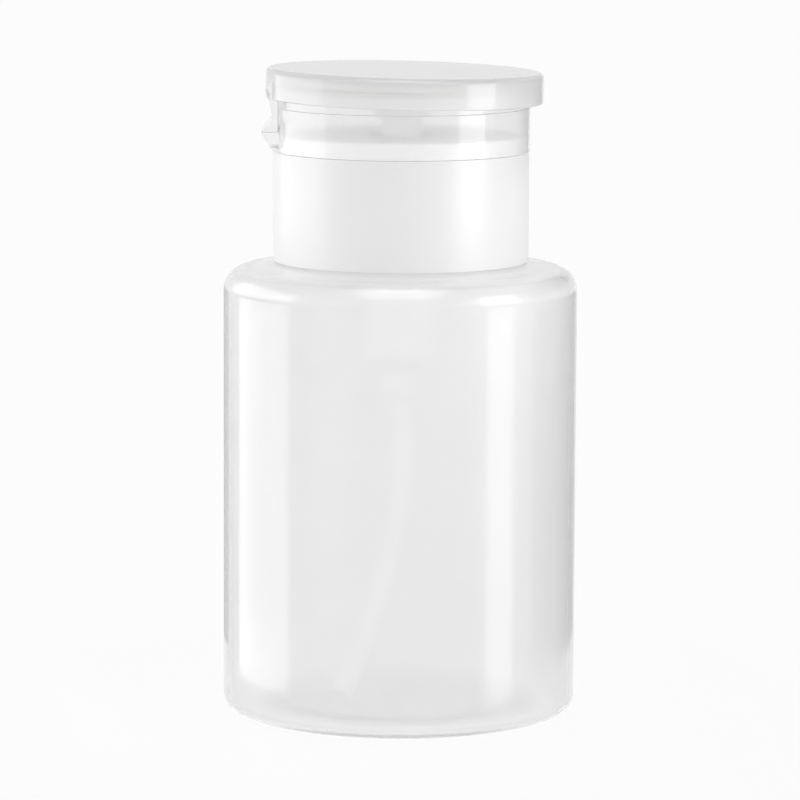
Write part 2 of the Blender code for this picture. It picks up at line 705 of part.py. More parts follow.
def build_retainer(mat, parent):
    tube_top = RETAINER_TOP + RETAINER_TUBE_LENGTH
    outline = [
        (RETAINER_BORE_RADIUS, RETAINER_BOTTOM),
        (RETAINER_RADIUS, RETAINER_BOTTOM),
        (RETAINER_RADIUS, RETAINER_TOP),
        (RETAINER_TUBE_RADIUS, RETAINER_TOP),
        (RETAINER_TUBE_RADIUS, tube_top),
        (RETAINER_BORE_RADIUS, tube_top),
    ]
    keep_on(turned("piston_retainer", outline, mat), parent)


def build_spring(mat, parent):
    # The end turns are close, and the turns between share the length that is left.
    length = SPRING_LENGTH - 2 * SPRING_WIRE_RADIUS
    open_turns = SPRING_TURNS - 2 * SPRING_END_TURNS
    open_pitch = (length - 2 * SPRING_END_TURNS * SPRING_END_PITCH) / open_turns
    path = []
    for step in range(SPRING_TURNS * SPRING_POINTS + 1):
        turn = step / SPRING_POINTS
        low = min(turn, SPRING_END_TURNS) * SPRING_END_PITCH
        middle = min(max(turn - SPRING_END_TURNS, 0.0), open_turns) * open_pitch
        high = max(turn - SPRING_END_TURNS - open_turns, 0.0) * SPRING_END_PITCH
        height = SPRING_BOTTOM + SPRING_WIRE_RADIUS + low + middle + high
        angle = math.tau * turn
        x = SPRING_MEAN_RADIUS * math.cos(angle)
        y = SPRING_MEAN_RADIUS * math.sin(angle)
        path.append((x, y, height))
    path = np.array(path)
    keep_on(swept("return_spring", path, SPRING_WIRE_RADIUS, WIRE_SIDES, mat), parent)
    least = math.inf
    for index, point in enumerate(path[: -SPRING_POINTS // 2]):
        others = path[index + SPRING_POINTS // 2 :]
        least = min(least, float(np.linalg.norm(others - point, axis=1).min()))
    least -= 2 * SPRING_WIRE_RADIUS
    print(f"return_spring: least gap to itself {least * 1000:.2f} mm")


def build_cage(mat, parent):
    bottom = SEAT_TOP + FIT_GAP
    roof = CAGE_TOP - CAGE_ROOF
    outline = [
        (CAGE_BORE_RADIUS, bottom),
        (PISTON_RADIUS, bottom),
        (PISTON_RADIUS, CAGE_TOP),
        (CAGE_HOLE_RADIUS, CAGE_TOP),
        (CAGE_HOLE_RADIUS, roof),
        (CAGE_BORE_RADIUS, roof),
    ]
    cage = turned("ball_cage", outline, mat)
    for index, angle in enumerate((0.0, 90.0)):
        slot = prism(
            f"cage_slot_{index}",
            [
                (-CAGE_BORE_RADIUS, roof - CAGE_ROOF),
                (CAGE_BORE_RADIUS, roof - CAGE_ROOF),
                (CAGE_BORE_RADIUS, CAGE_TOP + CUT_OVERRUN),
                (-CAGE_BORE_RADIUS, CAGE_TOP + CUT_OVERRUN),
            ],
            CAGE_SLOT_WIDTH / 2,
        )
        slot.rotation_euler = (0.0, 0.0, math.radians(angle))
        combine(cage, slot, "DIFFERENCE")
    keep_on(cage, parent)


def build_dip_tube(mat, parent):
    top = NIPPLE_TOP - FIT_GAP
    start = [(0.0, 0.0, top), (0.0, 0.0, (top + NIPPLE_BOTTOM) / 2)]
    start += [(0.0, 0.0, NIPPLE_BOTTOM), (0.0, 0.0, NIPPLE_BOTTOM - TUBE_RADIUS)]
    inner = BODY_RADIUS - BODY_WALL
    tip = PUSH_UP_HEIGHT + BODY_WALL + TUBE_TIP_GAP
    drop = start[-1][2] - tip
    start += [(inner * x, inner * y, tip + drop * up) for x, y, up in TUBE_ROUTE_SHARES]
    route = smooth_route(start, TUBE_STEP)
    keep_on(swept("dip_tube", route, TUBE_RADIUS, TUBE_SIDES, mat, bore=TUBE_BORE_RADIUS), parent)


def build_dish(mat, parent):
    hole = SPREADER_SPIGOT_RADIUS + FIT_GAP
    rim_in = DISH_RADIUS - DISH_RIM_WALL
    hub_foot = DISH_HUB_RADIUS + DISH_HUB_HEIGHT
    outline = [
        (SOCKET_BORE_RADIUS, SOCKET_BOTTOM),
        (SOCKET_RADIUS, SOCKET_BOTTOM),
        (SOCKET_RADIUS, DISH_FLOOR_BOTTOM),
        (DISH_RADIUS - DISH_EDGE, DISH_FLOOR_BOTTOM + DISH_FALL),
        (DISH_RADIUS, DISH_FLOOR_BOTTOM + DISH_FALL + DISH_EDGE),
        (DISH_RADIUS, DISH_TOP),
        (rim_in, DISH_TOP),
        (rim_in - DISH_RIM_HEIGHT, DISH_FLOOR_TOP),
        (hub_foot, DISH_FLOOR_TOP - DISH_FALL),
        (DISH_HUB_RADIUS, HUB_TOP),
        (hole, HUB_TOP),
        (hole, DISH_FLOOR_BOTTOM),
        (SOCKET_BORE_RADIUS, DISH_FLOOR_BOTTOM),
    ]
    keep_on(turned("press_dish", outline, mat, LARGE_SIDES), parent)


def build_spreader(mat, parent):
    head_bottom = HUB_TOP + FIT_GAP
    head_top = head_bottom + SPREADER_HEAD_HEIGHT
    outline = [
        (SPREADER_HOLE_RADIUS, SPREADER_BOTTOM),
        (SPREADER_SPIGOT_RADIUS, SPREADER_BOTTOM),
        (SPREADER_SPIGOT_RADIUS, head_bottom),
        (SPREADER_HEAD_RADIUS, head_bottom),
        (SPREADER_HEAD_RADIUS, head_top),
        (SPREADER_HOLE_RADIUS, head_top),
    ]
    spreader = turned("spreader", outline, mat)
    for index, angle in enumerate((0.0, 90.0)):
        slot = prism(
            f"spreader_slot_{index}",
            [
                (-SPREADER_HEAD_RADIUS - CUT_OVERRUN, (head_bottom + head_top) / 2),
                (SPREADER_HEAD_RADIUS + CUT_OVERRUN, (head_bottom + head_top) / 2),
                (SPREADER_HEAD_RADIUS + CUT_OVERRUN, head_top + CUT_OVERRUN),
                (-SPREADER_HEAD_RADIUS - CUT_OVERRUN, head_top + CUT_OVERRUN),
            ],
            SPREADER_SLOT_WIDTH / 2,
        )
        slot.rotation_euler = (0.0, 0.0, math.radians(angle))
        combine(spreader, slot, "DIFFERENCE")
    keep_on(spreader, parent)


def axis_empty(name, location):
    made = bpy.data.objects.new(name, None)
    made.location = location
    bpy.context.scene.collection.objects.link(made)
    return made


def keep_on(child, parent):
    # The parent is an unturned empty on the joint's axis, and the child stays where it stands.
    child.parent = parent
    child.matrix_parent_inverse = Matrix.Translation(-parent.location)


def main():
    clear_scene()
    frosted = plastic("frosted_polypropylene", (0.86, 0.86, 0.86), 0.42, transmission=0.3)
    white = plastic("white_polypropylene", (0.90, 0.90, 0.90), 0.35)
    clear = plastic("clear_polypropylene", (0.88, 0.89, 0.89), 0.12, transmission=0.8)
    natural = plastic("natural_polypropylene", (0.84, 0.84, 0.84), 0.25, transmission=0.4)
    foam = plastic("polyethylene_foam", (0.92, 0.92, 0.90), 0.8)
    rubber = plastic("nitrile_rubber", (0.30, 0.30, 0.31), 0.7)
    soft = plastic("soft_polyethylene", (0.80, 0.80, 0.80), 0.5)
    steel = plastic("stainless_steel", (0.62, 0.61, 0.60), 0.25, metallic=1.0)

    core = axis_empty("pump_core_axis", (0.0, 0.0, NECK_TOP))
    turn = axis_empty("collar_turn_axis", (0.0, 0.0, SLEEVE_TOP))
    press = axis_empty("press_axis", (0.0, 0.0, DISH_TOP))
    fold = axis_empty("lid_hinge_axis", (-FOLD_REACH, 0.0, FOLD_Z))

    build_bottle(frosted)
    build_collar(white, turn)
    build_ring(clear, turn)
    build_lid(natural, fold)
    build_liner(foam, fold)
    build_gasket(rubber, core)
    build_housing(natural, core)
    build_cap(white, core)
    build_seal(rubber, core)
    build_cage(natural, core)
    build_dip_tube(natural, core)
    build_spring(steel, core)
    build_stem(white, press)
    build_piston(soft, press)
    build_retainer(white, press)
    build_dish(white, press)
    build_spreader(white, press)
    inlet_ball = ball("inlet_ball", INLET_BALL_RADIUS, INLET_BALL_Z, steel)
    keep_on(inlet_ball, core)
    outlet_ball = ball("outlet_ball", OUTLET_BALL_RADIUS, OUTLET_BALL_Z, steel)
    keep_on(outlet_ball, press)


main()
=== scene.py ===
import math

import bmesh
import bpy
from mathutils import Euler, Matrix, Vector


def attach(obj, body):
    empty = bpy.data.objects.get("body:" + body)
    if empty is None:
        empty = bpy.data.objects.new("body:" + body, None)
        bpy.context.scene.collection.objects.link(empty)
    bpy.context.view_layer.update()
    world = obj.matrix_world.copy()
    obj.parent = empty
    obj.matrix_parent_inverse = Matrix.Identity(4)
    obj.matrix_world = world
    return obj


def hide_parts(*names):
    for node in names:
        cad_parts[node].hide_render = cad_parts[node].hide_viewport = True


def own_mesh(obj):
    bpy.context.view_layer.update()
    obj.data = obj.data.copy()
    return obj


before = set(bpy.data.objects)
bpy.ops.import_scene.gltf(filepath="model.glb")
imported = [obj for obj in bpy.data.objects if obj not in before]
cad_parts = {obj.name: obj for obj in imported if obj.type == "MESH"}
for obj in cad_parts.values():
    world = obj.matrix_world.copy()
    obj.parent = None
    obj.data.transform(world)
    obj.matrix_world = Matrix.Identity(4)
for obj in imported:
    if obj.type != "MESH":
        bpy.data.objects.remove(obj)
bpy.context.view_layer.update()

# Push-down pump bottle for nail polish remover, with a clear ring and a flip lid.
# The sizes in the dictionaries are millimetres, and every finished mesh is in metres.
mm = 0.001
weldDistance = 0.0005
print("frame loaded:", len(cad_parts), "nodes")


def linearColour(hexCode):
    # sRGB hex to the linear values that the shader wants
    parts = [int(hexCode[i:i + 2], 16) / 255 for i in (1, 3, 5)]
    return tuple(p / 12.92 if p <= 0.04045 else ((p + 0.055) / 1.055) ** 2.4 for p in parts) + (1.0,)


def addNode(material, kind, inputs=None, **settings):
    # one node with its settings, its values and its links
    node = material.node_tree.nodes.new(kind)
    for name, value in settings.items():
        setattr(node, name, value)
    for socket, value in (inputs or {}).items():
        if isinstance(value, bpy.types.NodeSocket):
            material.node_tree.links.new(value, node.inputs[socket])
        else:
            node.inputs[socket].default_value = value
    return node


def startMaterial(name, hexCode, values):
    # a Principled material, with what is the same all over on the shader's own sockets
    material = bpy.data.materials.new(name)
    material.use_nodes = True
    shader = material.node_tree.nodes["Principled BSDF"]
    shader.inputs["Base Color"].default_value = linearColour(hexCode)
    for socket, value in values.items():
        shader.inputs[socket].default_value = value
    return material, shader


def addPartingLine(material, shader, bump, seam):
    # The mould halves meet in the plane y = 0, which leaves a hairline up both sides and across the base.
    place = addNode(material, "ShaderNodeTexCoord").outputs["Object"]
    split = addNode(material, "ShaderNodeSeparateXYZ", {"Vector": place})
    away = addNode(material, "ShaderNodeMath", {0: split.outputs["Y"]}, operation="ABSOLUTE")
    line = addNode(material, "ShaderNodeMapRange", {
        "Value": away.outputs["Value"], "From Min": 0.0, "From Max": seam["width"] * mm / 2,
        "To Min": 1.0, "To Max": 0.0}, interpolation_type="SMOOTHSTEP")
    ridge = addNode(material, "ShaderNodeBump", {
        "Height": line.outputs["Result"], "Strength": 1.0, "Distance": seam["height"] * mm,
        "Normal": bump.outputs["Normal"]})
    material.node_tree.links.new(ridge.outputs["Normal"], shader.inputs["Normal"])


def thickenUpward(material, shader, look):
    # The wall gets thicker, and so milkier, between two heights
    place = addNode(material, "ShaderNodeTexCoord").outputs["Object"]
    split = addNode(material, "ShaderNodeSeparateXYZ", {"Vector": place})
    share = addNode(material, "ShaderNodeMapRange", {
        "Value": split.outputs["Z"], "From Min": look["bottom"] * mm, "From Max": look["top"] * mm,
        "To Min": shader.inputs["Transmission Weight"].default_value, "To Max": look["transmission"]})
    material.node_tree.links.new(share.outputs["Result"], shader.inputs["Transmission Weight"])


def letLightThrough(material, share):
    # A wall passes this share of the light that falls on what is behind it, as real clear or milky
    # ones do
    tree = material.node_tree
    path = addNode(material, "ShaderNodeLightPath")
    either = addNode(material, "ShaderNodeMath", {
        0: path.outputs["Is Shadow Ray"], 1: path.outputs["Is Diffuse Ray"]}, operation="MAXIMUM")
    part = addNode(material, "ShaderNodeMath", {0: either.outputs["Value"], 1: share}, operation="MULTIPLY")
    clear = addNode(material, "ShaderNodeBsdfTransparent")
    blend = addNode(material, "ShaderNodeMixShader", {
        0: part.outputs["Value"], 1: tree.nodes["Principled BSDF"].outputs["BSDF"], 2: clear.outputs["BSDF"]})
    tree.links.new(blend.outputs["Shader"], tree.nodes["Material Output"].inputs["Surface"])


def mouldedPlastic(name, look):
    # Moulded plastic: a cloudy tone from uneven cooling, faint flow lines up the walls, and a fine
    # orange-peel skin that breaks up the highlights.
    material, shader = startMaterial(name, look["colour"], {
        "IOR": look["ior"],
        "Transmission Weight": look["transmission"],
        "Coat Weight": look["coat"],
        "Coat Roughness": look["coatRoughness"],
    })
    place = addNode(material, "ShaderNodeTexCoord").outputs["Object"]
    cloud = addNode(material, "ShaderNodeTexNoise", {
        "Vector": place, "Scale": 1 / (look["cloud"] * mm), "Detail": 2.0, "Roughness": 0.5})
    stretched = addNode(material, "ShaderNodeMapping", {
        "Vector": place, "Scale": (1.0, 1.0, look["flowStretch"])})
    flow = addNode(material, "ShaderNodeTexNoise", {
        "Vector": stretched.outputs["Vector"], "Scale": 1 / (look["flow"] * mm), "Detail": 1.0})
    tone = addNode(material, "ShaderNodeMix", {
        "Factor": cloud.outputs["Fac"],
        "A": linearColour(look["shade"]), "B": linearColour(look["colour"])}, data_type="RGBA")
    rough = addNode(material, "ShaderNodeMapRange", {
        "Value": flow.outputs["Fac"], "From Min": 0.0, "From Max": 1.0,
        "To Min": look["roughness"] - look["roughnessSpread"],
        "To Max": look["roughness"] + look["roughnessSpread"]})
    peel = addNode(material, "ShaderNodeTexNoise", {
        "Vector": place, "Scale": 1 / (look["peel"] * mm), "Detail": 1.0})
    waves = addNode(material, "ShaderNodeBump", {
        "Height": flow.outputs["Fac"], "Strength": 1.0, "Distance": look["flowHeight"] * mm})
    skin = addNode(material, "ShaderNodeBump", {
        "Height": peel.outputs["Fac"], "Strength": 1.0, "Distance": look["peelHeight"] * mm,
        "Normal": waves.outputs["Normal"]})
    links = material.node_tree.links
    links.new(tone.outputs["Result"], shader.inputs["Base Color"])
    links.new(rough.outputs["Result"], shader.inputs["Roughness"])
    links.new(skin.outputs["Normal"], shader.inputs["Normal"])
    if "seam" in look:
        addPartingLine(material, shader, skin, look["seam"])
    if "thickening" in look:
        thickenUpward(material, shader, look["thickening"])
    letLightThrough(material, look["lightShare"])
    return material


def turnedSection(corners, steps=160):
    # Spins corners of (radius, height, rounding) about the bottle's axis. One that starts and ends on
    # the axis stays open there.
    bm = bmesh.new()
    verts = [bm.verts.new((radius, 0.0, height)) for radius, height, _ in corners]
    for pair in zip(verts, verts[1:]):
        bm.edges.new(pair)
    if corners[0][0] > 0.0 or corners[-1][0] > 0.0:
        bm.edges.new((verts[-1], verts[0]))
    for vert, (_, _, rounding) in zip(verts, corners):
        if rounding > 0.0:
            bmesh.ops.bevel(
                bm, geom=[vert], offset=rounding, offset_type="OFFSET", segments=2 + round(rounding * 3),
                profile=0.5, affect="VERTICES", material=-1)
    bmesh.ops.spin(
        bm, geom=bm.verts[:] + bm.edges[:], cent=(0.0, 0.0, 0.0), axis=(0.0, 0.0, 1.0),
        angle=math.tau, steps=steps, use_merge=True)
    bmesh.ops.remove_doubles(bm, verts=bm.verts, dist=weldDistance)
    bmesh.ops.recalc_face_normals(bm, faces=bm.faces)
    return bm


def wedge(outline, halfWidth, rounding=0.0):
    # A block of an outline of (x, z) points, as wide as halfWidth to both sides of y = 0
    bm = bmesh.new()
    face = bm.faces.new([bm.verts.new((x, -halfWidth, z)) for x, z in outline])
    grown = bmesh.ops.extrude_face_region(bm, geom=[face])["geom"]
    moved = [item for item in grown if isinstance(item, bmesh.types.BMVert)]
    bmesh.ops.translate(bm, verts=moved, vec=(0.0, 2 * halfWidth, 0.0))
    bmesh.ops.recalc_face_normals(bm, faces=bm.faces)
    if rounding > 0.0:
        bmesh.ops.bevel(
            bm, geom=bm.edges[:], offset=rounding, offset_type="OFFSET", segments=2, profile=0.5,
            affect="EDGES", material=-1)
    return bm


def threadRidge(thread, stepsPerTurn=96):
    # A trapezoid on a right-hand helix, drawn out of its section by a spin that climbs. Its ends sink
    # back into the wall.
    rise = thread["crest"] - thread["root"]
    embed = math.copysign(thread["embed"], rise)
    half, tip = thread["rootWidth"] / 2, thread["crestWidth"] / 2
    section = [
        (thread["root"] - embed, -half), (thread["root"], -half), (thread["crest"], -tip),
        (thread["crest"], tip), (thread["root"], half), (thread["root"] - embed, half)]
    bm = bmesh.new()
    verts = [bm.verts.new((r, 0.0, z + thread["bottom"])) for r, z in section]
    face = bm.faces.new(verts)
    bmesh.ops.rotate(
        bm, verts=verts, cent=(0.0, 0.0, 0.0), matrix=Matrix.Rotation(math.tau * thread["start"], 3, "Z"))
    steps = round(thread["turns"] * stepsPerTurn)
    bmesh.ops.spin(
        bm, geom=[face], cent=(0.0, 0.0, 0.0), axis=(0.0, 0.0, 1.0),
        dvec=(0.0, 0.0, thread["pitch"] / stepsPerTurn), angle=math.tau * thread["turns"], steps=steps)
    for vert in bm.verts:
        radius = math.hypot(vert.co.x, vert.co.y)
        turn = (vert.co.z - thread["bottom"]) / thread["pitch"] / thread["turns"]
        fade = max(0.0, min(1.0, turn / thread["fadeShare"], (1.0 - turn) / thread["fadeShare"]))
        past = (radius - thread["root"]) / rise
        if past > 0.0:
            wanted = thread["root"] + rise * past * fade - embed * thread["sinkShare"] * (1.0 - fade)
            vert.co.x *= wanted / radius
            vert.co.y *= wanted / radius
    bmesh.ops.recalc_face_normals(bm, faces=bm.faces)
    return bm


def meshObject(name, bm):
    # bmesh in millimetres to an object in metres
    bmesh.ops.scale(bm, vec=(mm, mm, mm), verts=bm.verts)
    mesh = bpy.data.meshes.new(name)
    bm.to_mesh(mesh)
    bm.free()
    made = bpy.data.objects.new(name, mesh)
    bpy.context.scene.collection.objects.link(made)
    return made


def keepShape(piece):
    # the mesh that the modifiers give becomes the piece's own
    shaped = piece.evaluated_get(bpy.context.evaluated_depsgraph_get())
    result = bpy.data.meshes.new_from_object(shaped)
    piece.modifiers.clear()
    piece.data = result


def combine(piece, tool, operation):
    # Boolean with its result kept
    modifier = piece.modifiers.new(operation.title(), "BOOLEAN")
    modifier.solver = "EXACT"
    modifier.operation = operation
    modifier.object = tool
    keepShape(piece)
    bpy.data.objects.remove(tool)


def placePiece(piece, material, body, node, sharp=32.0):
    # finish, body and CAD node of a new piece. Large faces lead the shading, so that a straight wall
    # mirrors straight beside its rounded edges.
    piece.data.materials.clear()
    piece.data.materials.append(material)
    piece.data.shade_smooth()
    piece.data.set_sharp_from_angle(angle=math.radians(sharp))
    modifier = piece.modifiers.new("Weighted", "WEIGHTED_NORMAL")
    modifier.keep_sharp = True
    keepShape(piece)
    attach(piece, body)
    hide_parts(node)
    print(piece.name, len(piece.data.polygons), "faces")


def lineInside(piece, material, height):
    # the skin of the faces that look towards a point on the axis
    piece.data.materials.append(material)
    middle = Vector((0.0, 0.0, height * mm))
    for face in piece.data.polygons:
        if face.normal.dot(face.center - middle) < 0.0:
            face.material_index = 1


# Materials

# Blow-moulded natural polypropylene with a frosted skin: milky, so that what is inside hardly shows,
# with a satin sheen under a thin gloss that draws bright bands along the walls. Towards the neck the
# wall is thicker and lets less through.
frostedPolypropylene = mouldedPlastic("frostedPolypropylene", {
    "colour": "#f5f5f5", "shade": "#f1f1f1", "ior": 1.49, "transmission": 0.62, "lightShare": 0.85,
    "roughness": 0.23, "roughnessSpread": 0.02, "coat": 0.5, "coatRoughness": 0.07,
    "cloud": 14.0, "flow": 5.0, "flowStretch": 0.06, "flowHeight": 0.012, "peel": 1.1, "peelHeight": 0.004,
    "seam": {"width": 0.35, "height": 0.04},
    "thickening": {"bottom": 72.7, "top": 73.7, "transmission": 0.0}})

# The inside of a moulded wall, smooth from the core or the blowing air: clear, so that the haze stays
# in the outer skin.
smoothInnerSkin = mouldedPlastic("smoothInnerSkin", {
    "colour": "#fdfdfd", "shade": "#fbfbfb", "ior": 1.49, "transmission": 1.0, "lightShare": 1.0,
    "roughness": 0.12, "roughnessSpread": 0.02, "coat": 0.0, "coatRoughness": 0.03,
    "cloud": 14.0, "flow": 5.0, "flowStretch": 0.1, "flowHeight": 0.02, "peel": 1.6, "peelHeight": 0.004})

# Injection-moulded polypropylene with a little white: a closed satin white with soft highlights.
whitePolypropylene = mouldedPlastic("whitePolypropylene", {
    "colour": "#e9e9e9", "shade": "#e6e6e6", "ior": 1.49, "transmission": 0.0, "lightShare": 0.95,
    "roughness": 0.31, "roughnessSpread": 0.02, "coat": 0.0, "coatRoughness": 0.03,
    "cloud": 9.0, "flow": 4.0, "flowStretch": 0.15, "flowHeight": 0.02, "peel": 0.9, "peelHeight": 0.005})

# Injection-moulded clarified polypropylene, polished mould: half clear and half milky, so that what
# is behind it shows as soft patches, with a full gloss.
clearPolypropylene = mouldedPlastic("clearPolypropylene", {
    "colour": "#fefefe", "shade": "#fcfcfc", "ior": 1.49, "transmission": 0.55, "lightShare": 1.0,
    "roughness": 0.08, "roughnessSpread": 0.015, "coat": 0.0, "coatRoughness": 0.03,
    "cloud": 8.0, "flow": 3.5, "flowStretch": 0.2, "flowHeight": 0.02, "peel": 1.4, "peelHeight": 0.003})

# Injection-moulded natural polypropylene: milky like candle wax, with a soft gloss.
naturalPolypropylene = mouldedPlastic("naturalPolypropylene", {
    "colour": "#e9e9e9", "shade": "#e6e6e6", "ior": 1.49, "transmission": 0.3, "lightShare": 0.7,
    "roughness": 0.13, "roughnessSpread": 0.02, "coat": 0.0, "coatRoughness": 0.03,
    "cloud": 10.0, "flow": 4.0, "flowStretch": 0.3, "flowHeight": 0.02, "peel": 1.2, "peelHeight": 0.005})

# The pump's own mouldings, of the same natural polypropylene but off polished tools: waxy white with
# a clear gloss that shows through the bottle's wall. Their white is painted lighter than the lid's, as
# painted light for the little light that reaches the pump inside the ring and the bottle.
pumpPolypropylene = mouldedPlastic("pumpPolypropylene", {
    "colour": "#fdfdfd", "shade": "#fafafa", "ior": 1.49, "transmission": 0.0, "lightShare": 0.6,
    "roughness": 0.14, "roughnessSpread": 0.02, "coat": 1.0, "coatRoughness": 0.06,
    "cloud": 10.0, "flow": 4.0, "flowStretch": 0.1, "flowHeight": 0.02, "peel": 1.2, "peelHeight": 0.004})

# Extruded or moulded low-density polyethylene: waxy white under a soft gloss, so that the tube is a
# pale streak behind the bottle's wall.
softPolyethylene = mouldedPlastic("softPolyethylene", {
    "colour": "#fefefe", "shade": "#fbfbfb", "ior": 1.51, "transmission": 0.0, "lightShare": 0.5,
    "roughness": 0.18, "roughnessSpread": 0.03, "coat": 1.0, "coatRoughness": 0.1,
    "cloud": 7.0, "flow": 1.6, "flowStretch": 0.05, "flowHeight": 0.02, "peel": 0.8, "peelHeight": 0.004})


def cellFoam(name, look):
    # Closed-cell foam: a field of small dimples where the skin closed over the cells, each painted darker
    # towards its floor as painted shade
    material, shader = startMaterial(name, look["colour"], {
        "Roughness": look["roughness"], "IOR": look["ior"]})
    place = addNode(material, "ShaderNodeTexCoord").outputs["Object"]
    cells = addNode(material, "ShaderNodeTexVoronoi", {"Vector": place, "Scale": 1 / (look["cell"] * mm)})
    # the colour darkens towards each cell's middle, where the bump is deepest: painted shade in the dimples
    tone = addNode(material, "ShaderNodeMix", {
        "Factor": cells.outputs["Distance"],
        "A": linearColour(look["shade"]), "B": linearColour(look["colour"])}, data_type="RGBA")
    dimples = addNode(material, "ShaderNodeBump", {
        "Height": cells.outputs["Distance"], "Strength": look["cellStrength"],
        "Distance": look["cellDepth"] * mm})
    material.node_tree.links.new(tone.outputs["Result"], shader.inputs["Base Color"])
    material.node_tree.links.new(dimples.outputs["Normal"], shader.inputs["Normal"])
    letLightThrough(material, look["lightShare"])
    return material


# Closed-cell polyethylene foam sheet, die cut: white, matt, dimpled by its cells, with painted shade in the
# dimples.
polyethyleneFoam = cellFoam("polyethyleneFoam", {
    "colour": "#f2f1ee", "shade": "#dddcd8", "ior": 1.5, "roughness": 0.75, "lightShare": 0.4,
    "cell": 0.45, "cellDepth": 0.08, "cellStrength": 0.6})


def mattRubber(name, look):
    # Moulded rubber: dull, with a dusty bloom in patches
    material, shader = startMaterial(name, look["colour"], {"IOR": look["ior"]})
    place = addNode(material, "ShaderNodeTexCoord").outputs["Object"]
    bloom = addNode(material, "ShaderNodeTexNoise", {
        "Vector": place, "Scale": 1 / (look["bloom"] * mm), "Detail": 3.0})
    rough = addNode(material, "ShaderNodeMapRange", {
        "Value": bloom.outputs["Fac"],
        "To Min": look["roughness"] - look["roughnessSpread"],
        "To Max": look["roughness"] + look["roughnessSpread"]})
    tone = addNode(material, "ShaderNodeMix", {
        "Factor": bloom.outputs["Fac"],
        "A": linearColour(look["shade"]), "B": linearColour(look["colour"])}, data_type="RGBA")
    material.node_tree.links.new(rough.outputs["Result"], shader.inputs["Roughness"])
    material.node_tree.links.new(tone.outputs["Result"], shader.inputs["Base Color"])
    return material


# Moulded nitrile rubber, light grey grade: dull and slightly dusty.
nitrileRubber = mattRubber("nitrileRubber", {
    "colour": "#c9c9c6", "shade": "#b9b9b6", "ior": 1.52, "roughness": 0.7, "roughnessSpread": 0.1,
    "bloom": 1.5})


def brightSteel(name, look):
    # Drawn or ground stainless steel: bright, with fine lines along the way it was worked
    material, shader = startMaterial(name, look["colour"], {"Metallic": 1.0})
    place = addNode(material, "ShaderNodeTexCoord").outputs["Object"]
    squeezed = addNode(material, "ShaderNodeMapping", {"Vector": place, "Scale": (1.0, 1.0, look["squeeze"])})
    lines = addNode(material, "ShaderNodeTexNoise", {
        "Vector": squeezed.outputs["Vector"], "Scale": 1 / (look["line"] * mm), "Detail": 2.0})
    rough = addNode(material, "ShaderNodeMapRange", {
        "Value": lines.outputs["Fac"], "From Min": look["lineLow"], "From Max": look["lineHigh"],
        "To Min": look["roughness"] * (1.0 - look["spreadShare"]),
        "To Max": look["roughness"] * (1.0 + look["spreadShare"])})
    material.node_tree.links.new(rough.outputs["Result"], shader.inputs["Roughness"])
    return material


# Cold-drawn stainless spring wire: bright, with die lines.
springSteel = brightSteel("springSteel", {
    "colour": "#c4c2be", "roughness": 0.22, "spreadShare": 0.3, "line": 0.3, "squeeze": 3.0,
    "lineLow": 0.3, "lineHigh": 0.7})

# Ground and lapped stainless balls: close to a mirror.
polishedSteel = brightSteel("polishedSteel", {
    "colour": "#cfcdca", "roughness": 0.08, "spreadShare": 0.3, "line": 0.8, "squeeze": 1.0,
    "lineLow": 0.3, "lineHigh": 0.7})
print("materials made")


# Bottle body with its neck and thread
bottleSizes = {
    "radius": 29.0, "wall": 1.2, "baseFillet": 2.5, "footInner": 22.5, "pushUp": 0.9, "pushUpRadius": 20.5,
    "shoulder": 73.3, "shoulderFillet": 3.8, "shoulderEase": 0.9, "shoulderRise": 0.1, "neckFoot": 74.9,
    "neckRadius": 17.5, "neckBore": 15.9, "neckTop": 90.3, "neckLip": 0.35, "innerPoint": 45.0,
    "thread": {
        "root": 17.5, "crest": 18.7, "embed": 0.4, "rootWidth": 1.8, "crestWidth": 0.8, "pitch": 4.233,
        "turns": 1.25, "start": 0.0, "bottom": 82.409, "fadeShare": 0.08, "sinkShare": 0.3}}


def buildBottle(size):
    wall, inner = size["wall"], size["radius"] - size["wall"]
    bm = turnedSection([
        (0.0, size["pushUp"], 0.0),
        (size["pushUpRadius"], size["pushUp"], 0.8),
        (size["footInner"], 0.0, 0.7),
        (size["radius"], 0.0, size["baseFillet"]),
        (size["radius"], size["shoulder"], size["shoulderFillet"]),
        (size["radius"] - size["shoulderFillet"] - size["shoulderEase"],
         size["shoulder"] + size["shoulderRise"], 0.7),
        (size["neckRadius"], size["neckFoot"], 0.3),
        (size["neckRadius"], size["neckTop"], size["neckLip"]),
        (size["neckBore"], size["neckTop"], size["neckLip"]),
        (size["neckBore"], size["neckFoot"] - wall, 0.8),
        (inner, size["shoulder"] - wall, size["shoulderFillet"] - wall),
        (inner, wall, size["baseFillet"] - wall),
        (size["footInner"], wall, 0.7),
        (size["pushUpRadius"], size["pushUp"] + wall, 0.8),
        (0.0, size["pushUp"] + wall, 0.0)], steps=192)
    body = meshObject("bottleBody", bm)
    combine(body, meshObject("neckThread", threadRidge(size["thread"])), "UNION")
    placePiece(body, frostedPolypropylene, "bottle_body", "bottle")
    lineInside(body, smoothInnerSkin, size["innerPoint"])


buildBottle(bottleSizes)


# Screw collar: sleeve, deck and the spigot that carries the ring
collarSizes = {
    "radius": 20.95, "bore": 19.05, "bottom": 74.878, "rimBottom": 74.4, "sleeveTop": 92.4, "edge": 0.4,
    "spigot": 19.7, "deckTop": 95.1, "deckBottom": 93.6, "deckHole": 5.2, "topBore": 18.0, "stepTop": 90.8,
    "stepBottom": 89.75,
    "thread": {
        "root": 19.05, "crest": 17.85, "embed": 0.4, "rootWidth": 1.8, "crestWidth": 0.8, "pitch": 4.233,
        "turns": 1.0, "start": 0.1354, "bottom": 81.528, "fadeShare": 0.08, "sinkShare": 0.3}}


